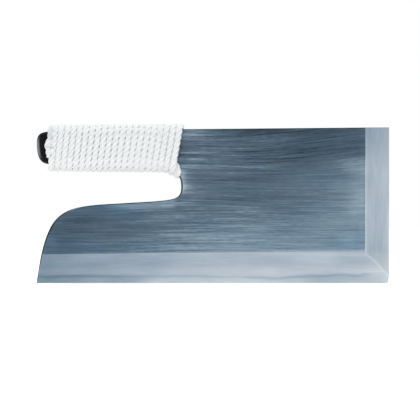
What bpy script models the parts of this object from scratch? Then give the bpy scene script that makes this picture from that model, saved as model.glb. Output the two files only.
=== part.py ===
"""Noodle knife: a right-handed blade that runs back under its own handle, and a handle bound with cord.

Metres, +Z up. The knife stands on its cutting edge, with the spine up and the front end at +X. The
bevelled side faces -Y and the flat side +Y. The origin is under the middle of the blade's length, at
the height of the cutting edge. The blade is soft iron with its tang in one piece, and a thin plate of
hard steel behind its lower part makes the edge. Two lacquered scales on the tang, held by two rivets,
make the core of the handle, and the cord is wound over them in one layer.
"""

from math import atan2, ceil, cos, hypot, pi, radians, sin, sqrt, tan

import bmesh
import bpy
import numpy as np
from mathutils import Matrix, Vector

# Blade, seen from the bevelled side: lengths run along X and heights over the cutting edge.
BLADE_LENGTH = 0.3000
SPINE_HEIGHT = 0.1323
THICKNESS = 0.0038
EASED_EDGE = 0.0006
EDGE_BEVEL_HEIGHT = 0.0240
EDGE_LAND = 0.00025
FRONT_BEVEL_WIDTH = 0.0198
FRONT_BEVEL_DEPTH = 0.00244

# Heel: a raked edge that curves into the shelf under the handle.
HEEL_RAKE = radians(8.7)
HEEL_STRAIGHT = 0.0050
HEEL_RUN = 0.0591
HEEL_PULL = 0.0542
SHELF_PULL = 0.0405
SHELF_HEIGHT = 0.0671
SHELF_SLOPE = 0.058

# Neck: the blade's edge from the shelf up to the underside of the handle.
NECK_FROM_HEEL = 0.1231
NECK_STRAIGHT = 0.0012
LOWER_FILLET_RUN = 0.0306
LOWER_FILLET_PULLS = (0.92, 0.75)
UPPER_FILLET = 0.0160

# Handle core: tang and scales share this outline.
UNDERSIDE_HEIGHT = 0.0992
HANDLE_LENGTH = 0.1230
BUTT_TAPER = 0.0139
SHOULDER_TOP_HEIGHT = 0.1297
SHOULDER_LOW_HEIGHT = 0.1001
BUTT_TOP_HEIGHT = 0.1266
BUTT_LOW_HEIGHT = 0.1015
BUTT_LEAN = 0.0020
BUTT_TOP_RADIUS = 0.0045
BUTT_LOW_RADIUS = 0.0085
CORE_THICKNESS = 0.0130
SCALE_EDGE_RADIUS = 0.0040
SCALE_END_SETBACK = 0.0015
SCALE_END_ANGLE = radians(46.0)

# Hard steel plate and the hollow ground into the flat side.
STEEL_THICKNESS = 0.00140
STEEL_HEIGHT = 0.0450
WELD_GAP = 0.0001
HOLLOW_DEPTH = 0.0003
HOLLOW_HEIGHT = 0.0500
HOLLOW_FROM_EDGE = 0.0085
HOLLOW_FROM_ENDS = (0.0140, 0.0080)
HOLLOW_BAR_SHARE = 0.6

# Rivets, at these distances in front of the butt end.
RIVET_PLACES = {"rivet_rear": 0.0260, "rivet_fore": 0.0980}
RIVET_HEIGHT = 0.1150
RIVET_SHANK_RADIUS = 0.0020
RIVET_HEAD_RADIUS = 0.0034
RIVET_HEAD_DEPTH = 0.0016
RIVET_RECESS = 0.0004

# Cord. A pitch is the step from one turn to the next, and a crossing is where a turn passes the core's
# top or its underside.
CORD_DIAMETER = 0.0046
CORD_TURNS = 21
TOP_PITCH = 0.00525
LOW_PITCH = 0.00513
FIRST_TOP_SETBACK = 0.0003
FIRST_LOW_SETBACK = 0.0075
START_SETBACK = 0.0039
START_LEAN = 0.0019
START_KNEE = (-0.0017, 0.0956)
START_CAP = (-0.0057, 0.1046)
START_BACK_LEAN = 0.45
RIDE = 0.0008
RIDE_REACH = 0.0110
TAIL_FROM_BUTT = 0.0090
TAIL_HEIGHT = 0.1075
TAIL_BEND = 0.0040
CORD_SIDES_RESOLUTION = 1
NOTCH_REACH = 0.0200

FIT_GAP = 0.0003
CORNER_STEPS = 3
FACE_STEPS = 5
CUTTER_SIZE = 0.6
OVERRUN = 0.0040

HEEL_X = -BLADE_LENGTH / 2
FRONT_X = BLADE_LENGTH / 2
NECK_X = HEEL_X + NECK_FROM_HEEL
BUTT_X = NECK_X - HANDLE_LENGTH
SHOULDER_X = BUTT_X + BUTT_TAPER
FILLET_X = NECK_X - UPPER_FILLET
FILLET_Z = UNDERSIDE_HEIGHT - UPPER_FILLET
HALF_BLADE = THICKNESS / 2
HALF_CORE = CORE_THICKNESS / 2
CORD_RADIUS = CORD_DIAMETER / 2
CORNER_SAG = (SCALE_EDGE_RADIUS + CORD_RADIUS) * (1 - cos(pi / 4 / CORNER_STEPS))
CORD_OFFSET = CORD_RADIUS + FIT_GAP + CORNER_SAG
TAIL_X = BUTT_X + TAIL_FROM_BUTT


def between(value, start, end):
    """How far value lies on the way from start to end, from 0 to 1."""
    return (value - start) / (end - start)


def spine_height(x):
    """Height of the blade's spine and of the core's top, which drops over the last stretch to the butt."""
    if x < SHOULDER_X:
        share = between(x, SHOULDER_X, BUTT_X)
        return SHOULDER_TOP_HEIGHT + share * (BUTT_TOP_HEIGHT - SHOULDER_TOP_HEIGHT)
    return SHOULDER_TOP_HEIGHT + between(x, SHOULDER_X, FRONT_X) * (SPINE_HEIGHT - SHOULDER_TOP_HEIGHT)


def underside_height(x, clearance=0.0):
    """Height of a line that keeps this clearance below the core's underside and the neck's upper fillet."""
    if x > FILLET_X:
        reach = max(UPPER_FILLET - clearance, 0.0)
        return FILLET_Z + sqrt(max(reach**2 - (x - FILLET_X) ** 2, 0.0))
    share = between(x, FILLET_X, SHOULDER_X)
    return UNDERSIDE_HEIGHT + share * (SHOULDER_LOW_HEIGHT - UNDERSIDE_HEIGHT) - clearance


def shelf_height(x):
    """Height of the blade's top edge under the handle, a straight line that rises to the neck."""
    return SHELF_HEIGHT + SHELF_SLOPE * (x - HEEL_X - HEEL_RUN)


def cubic(start, start_handle, end_handle, end, steps):
    """Points of a cubic curve, the first left out, so that curves can follow each other."""
    points = []
    for step in range(1, steps + 1):
        t = step / steps
        weights = ((1 - t) ** 3, 3 * (1 - t) ** 2 * t, 3 * (1 - t) * t**2, t**3)
        knots = (start, start_handle, end_handle, end)
        points.append(tuple(sum(w * k[axis] for w, k in zip(weights, knots)) for axis in (0, 1)))
    return points


def rounded(before, corner, after, radius, steps=6):
    """Points of the arc that rounds a corner between two straight edges."""
    corner = Vector(corner)
    back, ahead = (Vector(before) - corner).normalized(), (Vector(after) - corner).normalized()
    half_angle = back.angle(ahead) / 2
    centre = corner + (back + ahead).normalized() * radius / sin(half_angle)
    start = corner + back * radius / tan(half_angle) - centre
    turn = start.angle_signed(corner + ahead * radius / tan(half_angle) - centre)
    return [tuple(centre + Matrix.Rotation(-turn * step / steps, 2) @ start) for step in range(steps + 1)]


def fillet_arc(start_angle, end_angle, steps=8):
    """Points of the neck's upper fillet, from one angle over the level to another."""
    points = []
    for step in range(steps + 1):
        angle = start_angle + (end_angle - start_angle) * step / steps
        points.append((FILLET_X + UPPER_FILLET * cos(angle), FILLET_Z + UPPER_FILLET * sin(angle)))
    return points


def heel_and_shelf():
    """The raked heel, its curve into the shelf, and the lower fillet up to the neck."""
    foot = (HEEL_X - OVERRUN * tan(HEEL_RAKE), -OVERRUN)
    start = (HEEL_X + HEEL_STRAIGHT * tan(HEEL_RAKE), HEEL_STRAIGHT)
    start_handle = (start[0] + HEEL_PULL * sin(HEEL_RAKE), start[1] + HEEL_PULL * cos(HEEL_RAKE))
    end_x = HEEL_X + HEEL_RUN
    end_handle_x = end_x - SHELF_PULL
    end, end_handle = (end_x, shelf_height(end_x)), (end_handle_x, shelf_height(end_handle_x))
    heel = cubic(start, start_handle, end_handle, end, 22)

    fillet_start = (NECK_X - LOWER_FILLET_RUN, shelf_height(NECK_X - LOWER_FILLET_RUN))
    fillet_end = (NECK_X, FILLET_Z - NECK_STRAIGHT)
    run_pull, rise_pull = LOWER_FILLET_PULLS
    handle_x = fillet_start[0] + LOWER_FILLET_RUN * run_pull
    handle_z = fillet_end[1] - (fillet_end[1] - fillet_start[1]) * rise_pull
    fillet = cubic(fillet_start, (handle_x, shelf_height(handle_x)), (NECK_X, handle_z), fillet_end, 14)
    return [foot, start, *heel, fillet_start, *fillet]


def butt_end():
    """The end of the core, from its underside round to its top."""
    low_shoulder, top_shoulder = (SHOULDER_X, SHOULDER_LOW_HEIGHT), (SHOULDER_X, SHOULDER_TOP_HEIGHT)
    low_corner, top_corner = (BUTT_X + BUTT_LEAN, BUTT_LOW_HEIGHT), (BUTT_X, BUTT_TOP_HEIGHT)
    low_arc = rounded(low_shoulder, low_corner, top_corner, BUTT_LOW_RADIUS)
    top_arc = rounded(low_corner, top_corner, top_shoulder, BUTT_TOP_RADIUS)
    return [low_shoulder, *low_arc, *top_arc, top_shoulder]


def blade_outline():
    """The blade and its tang. It runs past the cutting edge and the front end, which are cut afterwards."""
    beyond = FRONT_X + OVERRUN
    front = [(beyond, spine_height(beyond)), (beyond, -OVERRUN)]
    return [*heel_and_shelf(), *fillet_arc(0, pi / 2), *butt_end(), *front]


def scale_end():
    """The two ends of the scales' slanting neck end, on the core's top and on the neck's upper fillet."""
    top_x = NECK_X + SCALE_END_SETBACK
    low = (FILLET_X + UPPER_FILLET * cos(SCALE_END_ANGLE), FILLET_Z + UPPER_FILLET * sin(SCALE_END_ANGLE))
    return (top_x, spine_height(top_x)), low


def core_outline():
    """Both scales: the tang's outline, ended by a straight slant at the neck."""
    top, _ = scale_end()
    return [*fillet_arc(SCALE_END_ANGLE, pi / 2, 4), *butt_end(), top]


def material(name, colour, roughness, metallic=0.0, coat=0.0):
    """A plain finish, with its colour in linear values."""
    made = bpy.data.materials.new(name)
    made.use_nodes = True
    shader = made.node_tree.nodes["Principled BSDF"]
    shader.inputs["Base Color"].default_value = (*colour, 1)
    shader.inputs["Roughness"].default_value = roughness
    shader.inputs["Metallic"].default_value = metallic
    shader.inputs["Coat Weight"].default_value = coat
    made.diffuse_color = (*colour, 1)
    return made


def clear_scene():
    for obj in list(bpy.data.objects):
        bpy.data.objects.remove(obj, do_unlink=True)


def new_collection(name):
    made = bpy.data.collections.new(name)
    bpy.context.scene.collection.children.link(made)
    return made


def put_in(obj, collection):
    for old in list(obj.users_collection):
        old.objects.unlink(obj)
    collection.objects.link(obj)
    return obj


def as_mesh(curve_object, collection):
    """The curve's solid as a mesh object with its caps welded and its flat faces whole. The curve goes."""
    bpy.context.view_layer.update()
    graph = bpy.context.evaluated_depsgraph_get()
    mesh = bpy.data.meshes.new_from_object(curve_object.evaluated_get(graph))
    made = bpy.data.objects.new(curve_object.name, mesh)
    made.matrix_world = curve_object.matrix_world
    name = curve_object.name
    bpy.data.objects.remove(curve_object, do_unlink=True)
    made.name = name
    bm = bmesh.new()
    bm.from_mesh(mesh)
    bmesh.ops.remove_doubles(bm, verts=bm.verts, dist=1e-6)
    bmesh.ops.dissolve_limit(bm, angle_limit=radians(0.05), verts=bm.verts, edges=bm.edges)
    bmesh.ops.recalc_face_normals(bm, faces=bm.faces)
    bm.to_mesh(mesh)
    bm.free()
    collection.objects.link(made)
    return made


def plate(name, outline, thickness, collection):
    """A plate of this outline in the XZ plane, its thickness centred on y = 0."""
    curve = bpy.data.curves.new(name, "CURVE")
    curve.dimensions = "2D"
    curve.fill_mode = "BOTH"
    curve.extrude = thickness / 2
    spline = curve.splines.new("POLY")
    spline.points.add(len(outline) - 1)
    for point, (x, z) in zip(spline.points, outline):
        point.co = (x, z, 0, 1)
    spline.use_cyclic_u = True
    flat = bpy.data.objects.new(name, curve)
    flat.rotation_euler = (pi / 2, 0, 0)
    collection.objects.link(flat)
    return as_mesh(flat, collection)


def round_edges(obj, width, segments):
    """Rounds every edge that turns more than the facets of its arcs do."""
    bevel = obj.modifiers.new("rounded_edges", "BEVEL")
    bevel.width = width
    bevel.segments = segments
    bevel.limit_method = "ANGLE"
    bevel.angle_limit = radians(40)
    bevel.use_clamp_overlap = False


def as_cutter(obj, cutters):
    """Moves a helper to the cutters, which are neither rendered nor built."""
    put_in(obj, cutters)
    obj.hide_render = True
    obj.display_type = "WIRE"
    return obj


def cut(obj, cutter, operation="DIFFERENCE"):
    boolean = obj.modifiers.new(cutter.name, "BOOLEAN")
    boolean.operation = operation
    boolean.solver = "EXACT"
    boolean.object = cutter


def half_space(name, point, direction, cutters):
    """A large cube that stands on the plane through point and reaches out along direction."""
    direction = Vector(direction).normalized()
    bpy.ops.mesh.primitive_cube_add(size=CUTTER_SIZE)
    cube = bpy.context.object
    cube.name = name
    cube.rotation_mode = "QUATERNION"
    cube.rotation_quaternion = direction.to_track_quat("Z", "X")
    cube.location = Vector(point) + direction * CUTTER_SIZE / 2
    return as_cutter(cube, cutters)


def box(name, low, high, cutters):
    """A cutter from one corner to the opposite one."""
    bpy.ops.mesh.primitive_cube_add(size=1)
    cube = bpy.context.object
    cube.name = name
    cube.location = (Vector(low) + Vector(high)) / 2
    cube.scale = Vector(high) - Vector(low)
    return as_cutter(cube, cutters)


def turned(name, profile, axis, steps, collection):
    """A solid turned round the object's own X, Y or Z axis, from a profile whose two ends lie on it."""
    mesh = bpy.data.meshes.new(name)
    mesh.from_pydata(profile, [(i, i + 1) for i in range(len(profile) - 1)], [])
    made = bpy.data.objects.new(name, mesh)
    collection.objects.link(made)
    screw = made.modifiers.new("turned", "SCREW")
    screw.axis = axis
    screw.steps = steps
    screw.render_steps = steps
    screw.use_merge_vertices = True
    screw.merge_threshold = 1e-6
    screw.use_smooth_shade = True
    return made


def smooth(obj, angle=30):
    obj.data.shade_smooth()
    obj.data.set_sharp_from_angle(angle=radians(angle))


def blade_cutters(cutters):
    """The planes that trim and grind the blade: cutting edge, front end, and the two bevels."""
    grind = THICKNESS - EDGE_LAND
    edge_line = (0, -HALF_BLADE, EDGE_BEVEL_HEIGHT)
    front_line = (FRONT_X - FRONT_BEVEL_WIDTH, -HALF_BLADE, 0)
    return [
        half_space("edge_trim", (0, 0, 0), (0, 0, -1), cutters),
        half_space("front_trim", (FRONT_X, 0, 0), (1, 0, 0), cutters),
        half_space("edge_bevel", edge_line, (0, -EDGE_BEVEL_HEIGHT, -grind), cutters),
        half_space("front_bevel", front_line, (FRONT_BEVEL_DEPTH, -FRONT_BEVEL_WIDTH, 0), cutters),
    ]


def hollow_cutter(cutters):
    """A long bar with round ends, flattened so that it dips into the flat side by the hollow's depth. The
    hollow's half height is only a share of the bar's radius, so its floor meets the flat side softly."""
    half_height = HOLLOW_HEIGHT / 2
    bar_radius = half_height / HOLLOW_BAR_SHARE
    rim_share = sqrt(1 - HOLLOW_BAR_SHARE**2)
    start = HEEL_X + HOLLOW_FROM_ENDS[0] + half_height
    end = FRONT_X - HOLLOW_FROM_ENDS[1] - half_height
    half_length = (end - start) / 2
    quarter = [pi / 2 * step / 12 for step in range(13)]
    far = [(half_length + bar_radius * cos(a), 0, bar_radius * sin(a)) for a in quarter]
    near = [(-x, 0, z) for x, _, z in reversed(far)]
    bar = turned("hollow", [*far, *near], "X", 72, cutters)
    flattening = HOLLOW_DEPTH / ((1 - rim_share) * bar_radius)
    bar.scale = (1, flattening, 1)
    bar.location = (
        (start + end) / 2,
        HALF_BLADE + rim_share * bar_radius * flattening,
        HOLLOW_FROM_EDGE + half_height,
    )
    return as_cutter(bar, cutters)


def make_blade(parts, cutters, grinding, hollow, holes):
    """The soft iron body with its tang, and the hard steel plate set into its flat side."""
    body = plate("blade_body", blade_outline(), THICKNESS, parts)
    steel = plate("edge_steel", blade_outline(), THICKNESS, parts)
    inner_face = HALF_BLADE - STEEL_THICKNESS
    rebate_low = (-CUTTER_SIZE / 2, inner_face - WELD_GAP, -CUTTER_SIZE / 2)
    rebate_high = (CUTTER_SIZE / 2, CUTTER_SIZE / 2, STEEL_HEIGHT + FIT_GAP)
    for piece in (body, steel):
        round_edges(piece, EASED_EDGE, 2)
        for plane in grinding:
            cut(piece, plane)
    cut(body, box("rebate", rebate_low, rebate_high, cutters))
    cut(steel, half_space("steel_front", (0, inner_face, 0), (0, -1, 0), cutters))
    cut(steel, half_space("steel_top", (0, 0, STEEL_HEIGHT), (0, 0, 1), cutters))
    for piece in (body, steel):
        cut(piece, hollow)
        smooth(piece, 20)
    for hole in holes:
        cut(body, hole)
    body.data.materials.append(material("soft_iron", (0.115, 0.135, 0.155), 0.38, 1.0))
    steel.data.materials.append(material("hard_steel", (0.33, 0.37, 0.41), 0.28, 1.0))


def make_scales(parts, cutters, holes, cord_holes):
    """The two lacquered scales: one rounded core, split by the tang's slot."""
    lacquer = material("black_lacquer", (0.006, 0.006, 0.007), 0.16, 0.0, 1.0)
    for name, side in (("scale_front", -1), ("scale_back", 1)):
        scale = plate(name, core_outline(), CORE_THICKNESS, parts)
        round_edges(scale, SCALE_EDGE_RADIUS, 4)
        inner_face = side * (HALF_BLADE + FIT_GAP)
        cut(scale, half_space(name + "_inner", (0, inner_face, 0), (0, -side, 0), cutters))
        for hole in holes:
            cut(scale, hole)
        if side < 0:
            for hole in cord_holes:
                cut(scale, hole)
        smooth(scale, 35)
        scale.data.materials.append(lacquer)


def rivet_profile(clearance=0.0, overrun=0.0):
    """Half section of a rivet with two countersunk heads, from its top down, at x = radius."""
    half_length = HALF_CORE - RIVET_RECESS
    neck = half_length - RIVET_HEAD_DEPTH
    head, shank = RIVET_HEAD_RADIUS + clearance, RIVET_SHANK_RADIUS + clearance
    upper = [(0, half_length + overrun), (head, half_length + overrun)]
    if overrun:
        upper.append((head, half_length))
    upper.append((shank, neck))
    lower = [(radius, -height) for radius, height in reversed(upper)]
    return [(radius, 0, height) for radius, height in [*upper, *lower]]


def make_rivets(parts, cutters):
    """Two rivets through scales and tang, and the cutters of their countersunk holes."""
    brass = material("brass", (0.56, 0.39, 0.13), 0.35, 1.0)
    holes = []
    for name, from_butt in RIVET_PLACES.items():
        rivet = turned(name, rivet_profile(), "Z", 24, parts)
        hole = turned(name + "_hole", rivet_profile(FIT_GAP, OVERRUN), "Z", 24, cutters)
        for obj in (rivet, hole):
            obj.location = (BUTT_X + from_butt, 0, RIVET_HEIGHT)
            obj.rotation_euler = (pi / 2, 0, 0)
        rivet.data.materials.append(brass)
        holes.append(as_cutter(hole, cutters))
    return holes


def seat(x, z):
    """Half thickness of what the cord lies on at each place: the scales, the bare tang past their neck
    end, or, where it rolls off the scales' rounded end, the level that keeps it clear of that end."""
    top, low = scale_end()
    slant = Vector((top[0] - low[0], top[1] - low[1])).normalized()
    past_end = (x - low[0]) * slant.y - (z - low[1]) * slant.x
    swing = SCALE_EDGE_RADIUS + CORD_OFFSET
    reach = np.clip(past_end + SCALE_EDGE_RADIUS, 0, swing)
    rolled = HALF_CORE - SCALE_EDGE_RADIUS + np.sqrt(swing**2 - reach**2) - CORD_OFFSET
    return np.maximum(rolled, HALF_BLADE)


def edge_radius(half_thickness):
    """Radius of the rounding under the cord, from the tang's eased edge to the scales' full rounding."""
    share = between(half_thickness, HALF_BLADE, HALF_CORE)
    return EASED_EDGE + share * (SCALE_EDGE_RADIUS - EASED_EDGE)


def half_turn(low_x, top_x, side, lean=1.0):
    """Points from a crossing of the underside up one side of the core to a crossing of its top."""
    corner = np.linspace(pi / 2, 0, CORNER_STEPS + 1)
    low_z = underside_height(low_x, CORD_OFFSET)
    top_z = spine_height(top_x) + CORD_OFFSET
    low_swing = edge_radius(seat(low_x, low_z)) + CORD_OFFSET
    top_swing = edge_radius(seat(top_x, top_z)) + CORD_OFFSET
    lower = low_z + low_swing * (1 - np.sin(corner))
    upper = (top_z - top_swing * (1 - np.sin(corner)))[::-1]
    face = np.linspace(lower[-1], upper[0], FACE_STEPS + 1)[1:-1]
    z = np.concatenate([lower, face, upper])
    outward = np.concatenate([np.cos(corner), np.ones(len(face)), np.cos(corner)[::-1]])
    steps = np.hypot(np.diff(z), np.diff(outward) * (SCALE_EDGE_RADIUS + CORD_OFFSET))
    along = np.concatenate([[0], np.cumsum(steps)]) / steps.sum()
    x = low_x + (top_x - low_x) * along**lean
    half = seat(x, z)
    radius = edge_radius(half)
    y = half - radius + (radius + CORD_OFFSET) * outward
    return np.stack([x, side * y, z], axis=1)


def cord_start(low_x):
    """The first end: from its cap in the front scale's notch, straight down the tang, to the underside."""
    level = -(HALF_BLADE + CORD_OFFSET)
    cap = np.array([NECK_X + START_CAP[0], level, START_CAP[1]])
    knee = np.array([NECK_X + START_KNEE[0], level, START_KNEE[1]])
    straight = [cap + (knee - cap) * step / 4 for step in range(5)]
    corner = np.linspace(0, pi / 2, CORNER_STEPS + 1)
    swing = EASED_EDGE + CORD_OFFSET
    x = low_x + START_LEAN * (1 - np.sin(corner))
    y = -(HALF_BLADE - EASED_EDGE + swing * np.cos(corner))
    z = underside_height(low_x, CORD_OFFSET) + swing * (1 - np.sin(corner))
    return np.concatenate([straight, np.stack([x, y, z], axis=1)])


def cord_tail(top_x):
    """The last end: down the front, then round a bend into its hole in the front scale."""
    swing = SCALE_EDGE_RADIUS + CORD_OFFSET
    corner = np.linspace(pi / 2, 0, CORNER_STEPS + 1)
    top_z = spine_height(top_x) + CORD_OFFSET
    upper_y = HALF_CORE - SCALE_EDGE_RADIUS + swing * np.cos(corner)
    upper_z = top_z - swing * (1 - np.sin(corner))
    bend_y, bend_z = HALF_CORE + FIT_GAP + TAIL_BEND, TAIL_HEIGHT + TAIL_BEND
    share = np.linspace(0, 1, FACE_STEPS + 1)[1:-1]
    rise = share**2 * (3 - 2 * share)
    face_y = upper_y[-1] + (bend_y - upper_y[-1]) * rise
    face_z = upper_z[-1] + (bend_z - upper_z[-1]) * share
    bend = np.linspace(0, pi / 2, 5)
    bend_ys = HALF_CORE + FIT_GAP + TAIL_BEND * np.cos(bend)
    bend_zs = TAIL_HEIGHT + TAIL_BEND * (1 - np.sin(bend))
    inner = np.linspace(HALF_CORE + FIT_GAP, HALF_BLADE + FIT_GAP, 3)[1:]
    y = np.concatenate([upper_y, face_y, bend_ys, inner])
    z = np.concatenate([upper_z, face_z, bend_zs, np.full(len(inner), TAIL_HEIGHT)])
    way = np.clip(between(z, top_z, bend_z), 0, 1)
    x = top_x + (TAIL_X - top_x) * np.sin(way * pi / 2)
    return np.stack([x, -y, z], axis=1)


def cord_path():
    """The cord's centre line: down the front with the step to the next turn, and straight up the back."""
    first_top, first_low = NECK_X - FIRST_TOP_SETBACK, NECK_X - FIRST_LOW_SETBACK
    low_x = NECK_X - START_SETBACK
    stretches = [cord_start(low_x), half_turn(low_x, first_top, 1, lean=START_BACK_LEAN)]
    for turn in range(CORD_TURNS):
        top_x = first_top - turn * TOP_PITCH
        low_x = first_low - turn * LOW_PITCH
        front = half_turn(low_x, top_x, -1)
        if turn == 0:
            over_start = np.clip(1 - ((front[:, 2] - START_CAP[1]) / RIDE_REACH) ** 2, 0, 1)
            front[:, 1] -= RIDE * over_start
        stretches.append(front[::-1])
        stretches.append(half_turn(low_x, top_x - TOP_PITCH, 1))
    stretches.append(cord_tail(first_top - CORD_TURNS * TOP_PITCH))
    return np.concatenate(stretches)


def least_gap(path, diameter):
    """The least clear distance between stretches of the tube that lie over ten diameters apart along it."""
    step = np.linalg.norm(np.diff(path, axis=0), axis=1)
    along = np.concatenate([[0], np.cumsum(step)])
    places = np.linspace(0, along[-1], ceil(along[-1] / (diameter / 6)))
    points = np.stack([np.interp(places, along, path[:, axis]) for axis in range(3)], axis=1)
    least = np.inf
    for index in range(len(points)):
        far = places > places[index] + 10 * diameter
        if far.any():
            least = min(least, np.linalg.norm(points[far] - points[index], axis=1).min())
    return least - diameter


def make_cord(parts):
    """The winding, one unbroken tube."""
    path = cord_path()
    gap = 1000 * least_gap(path, CORD_DIAMETER)
    print(f"cord_wrap: {len(path)} points, least gap to itself {gap:.2f} mm")
    curve = bpy.data.curves.new("cord_wrap", "CURVE")
    curve.dimensions = "3D"
    curve.twist_mode = "MINIMUM"
    curve.bevel_depth = CORD_RADIUS
    curve.bevel_resolution = CORD_SIDES_RESOLUTION
    curve.use_fill_caps = True
    spline = curve.splines.new("POLY")
    spline.points.add(len(path) - 1)
    for point, place in zip(spline.points, path):
        point.co = (*place, 1)
    cord = bpy.data.objects.new("cord_wrap", curve)
    parts.objects.link(cord)
    cord.data.materials.append(material("white_cord", (0.84, 0.84, 0.83), 0.9))


def cord_seats(cutters):
    """In the front scale: the notch that takes the cord's first end, and the hole that takes its last."""
    wall = CORD_RADIUS + FIT_GAP
    run_x, run_z = START_CAP[0] - START_KNEE[0], START_CAP[1] - START_KNEE[1]
    length = hypot(run_x, run_z)
    direction = Vector((run_x / length, 0, run_z / length))
    notch = box("start_notch", (-wall, -CORE_THICKNESS, -NOTCH_REACH), (NOTCH_REACH, 0, FIT_GAP), cutters)
    notch_turn = Matrix.Rotation(atan2(run_x, run_z), 4, "Y")
    cap = Vector((NECK_X + START_CAP[0], 0, START_CAP[1]))
    notch.matrix_world = Matrix.Translation(cap) @ notch_turn @ Matrix.LocRotScale(
        notch.location, None, notch.scale
    )
    bpy.ops.mesh.primitive_cylinder_add(vertices=20, radius=wall, depth=2 * CORE_THICKNESS)
    hole = bpy.context.object
    hole.name = "tail_hole"
    hole.rotation_euler = (pi / 2, 0, 0)
    hole.location = (TAIL_X, -CORE_THICKNESS, TAIL_HEIGHT)
    return [notch, as_cutter(hole, cutters)]


def main():
    clear_scene()
    parts = new_collection("noodle_knife")
    cutters = new_collection("cutters")
    holes = make_rivets(parts, cutters)
    make_blade(parts, cutters, blade_cutters(cutters), hollow_cutter(cutters), holes)
    make_scales(parts, cutters, holes, cord_seats(cutters))
    make_cord(parts)


main()
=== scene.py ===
"""Looks of the noodle knife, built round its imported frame.

The knife stands on its cutting edge as the frame does: +X runs to the square front end, +Z up to the spine,
and the bevelled side faces -Y, towards the camera. Sizes are in millimetres, and become metres where a mesh
is made. The blade is a soft iron body with its tang and a hard steel plate behind its edge, the handle is two
lacquered scales on the tang, and a three-strand cotton cord is wound over them.
"""

import logging
from dataclasses import dataclass, field
from enum import Enum

import bpy
import numpy as np
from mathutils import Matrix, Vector


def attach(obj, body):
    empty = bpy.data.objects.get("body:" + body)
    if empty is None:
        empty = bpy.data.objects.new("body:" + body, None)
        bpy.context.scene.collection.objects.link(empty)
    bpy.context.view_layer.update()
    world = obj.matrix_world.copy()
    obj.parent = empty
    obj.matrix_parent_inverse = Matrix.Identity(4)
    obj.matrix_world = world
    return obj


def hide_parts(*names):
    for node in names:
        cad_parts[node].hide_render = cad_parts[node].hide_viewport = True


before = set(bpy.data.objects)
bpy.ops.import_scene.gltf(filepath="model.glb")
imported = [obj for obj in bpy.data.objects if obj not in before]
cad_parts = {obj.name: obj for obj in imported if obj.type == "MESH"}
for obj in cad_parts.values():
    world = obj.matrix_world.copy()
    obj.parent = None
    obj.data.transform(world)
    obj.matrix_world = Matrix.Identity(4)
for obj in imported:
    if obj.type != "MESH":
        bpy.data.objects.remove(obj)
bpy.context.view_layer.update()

LOG = logging.getLogger("noodle_knife")
MM = 0.001
BODY = "root"

# Names of the values that a piece's mesh carries for its finishes.
GRAIN = "grain"
# The tone value holds painted reflection on the blade's face besides the metal's own tone, and painted shade
# on the cord.
TONE = "tone"
# The arris value holds painted highlights: burnish and highlight on the blade's arrises, and the highlight on
# the butt's edge.
ARRIS = "arris"
COOL = "cool"
STREAK = "streak"
WEAR = "wear"

# Settings of a node that mixes colours.
COLOURS = {"data_type": "RGBA", "output": "Result"}

Array = np.ndarray
Pair = tuple[float, float]
Knots = tuple[Pair, ...]
Spots = tuple[tuple[Pair, Pair, float], ...]
Stops = tuple[tuple[float, str], ...]
Place = tuple[float, float, float]
Socket = bpy.types.NodeSocket
Value = Socket | float | tuple[float, ...]
Surface = tuple[Socket, Socket, Socket]


class Region(Enum):
    """A finish on a piece, as the number of its material slot."""

    FACE = 0
    BEVEL = 1
    RIM = 2
    LACQUERED = 3
    FLAT = 4


class Sheet(Enum):
    """What part of a blade piece a triangle belongs to."""

    BEVELLED = 0
    FLAT = 1
    RIM = 2


class Side(Enum):
    """A side of the knife, as the sign of its Y."""

    BEVELLED = -1
    FLAT = 1


# Small tools


def linear(code: str) -> tuple[float, float, float, float]:
    """Turns an sRGB hex colour to linear values: a share s becomes s / 12.92 when dark, and otherwise
    ((s + 0.055) / 1.055) to the power 2.4.

    Args:
        code: the colour as "#RRGGBB".

    Returns:
        Red, green, blue and an alpha of one.
    """
    share = np.array([int(code[i : i + 2], 16) for i in (1, 3, 5)]) / 255
    bright = ((share + 0.055) / 1.055) ** 2.4
    return (*np.where(share <= 0.04045, share / 12.92, bright).tolist(), 1.0)


def eased(share: Array) -> Array:
    """A share s from 0 to 1, eased at both ends as s * s * (3 - 2 s)."""
    return share * share * (3 - 2 * share)


def smoothstep(value: Array, low: float, high: float) -> Array:
    """The eased share of the way from low to high. It falls where low is the larger."""
    return eased(np.clip((value - low) / (high - low), 0, 1))


def eased_path(value: Array, knots: Knots) -> Array:
    """A curve through knots that is level at each of them: between two, the eased share of the way.

    Args:
        value: places along the curve.
        knots: places and heights, in order.

    Returns:
        The heights.
    """
    places, heights = np.array(knots).T
    after = np.clip(np.searchsorted(places, value), 1, len(places) - 1)
    share = smoothstep(value, places[after - 1], places[after])
    return heights[after - 1] + share * (heights[after] - heights[after - 1])


def bell(value: Array, middle: float, reach: float) -> Array:
    """One at the middle, and e to the power of minus the squared distance from it, in reaches."""
    return np.exp(-(((value - middle) / reach) ** 2))


def spots(x: Array, z: Array, patches: Spots) -> Array:
    """Sums soft patches. Each has a middle, a reach in X and one in Z, and an amount at its middle."""
    return sum(amount * bell(x, at[0], reach[0]) * bell(z, at[1], reach[1]) for at, reach, amount in patches)


def cubic(start: Pair, start_handle: Pair, end_handle: Pair, end: Pair, steps: int) -> Array:
    """Points of a cubic curve: the four knots, weighted by the terms of ((1 - t) + t) cubed.

    Args:
        start: where it starts.
        start_handle: where it heads from there.
        end_handle: where it comes from.
        end: where it ends.
        steps: how many pieces it has.

    Returns:
        One row for each point.
    """
    t = np.linspace(0, 1, steps + 1)[:, None]
    weights = ((1 - t) ** 3, 3 * (1 - t) ** 2 * t, 3 * (1 - t) * t**2, t**3)
    return sum(w * np.array(k) for w, k in zip(weights, (start, start_handle, end_handle, end)))


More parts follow.
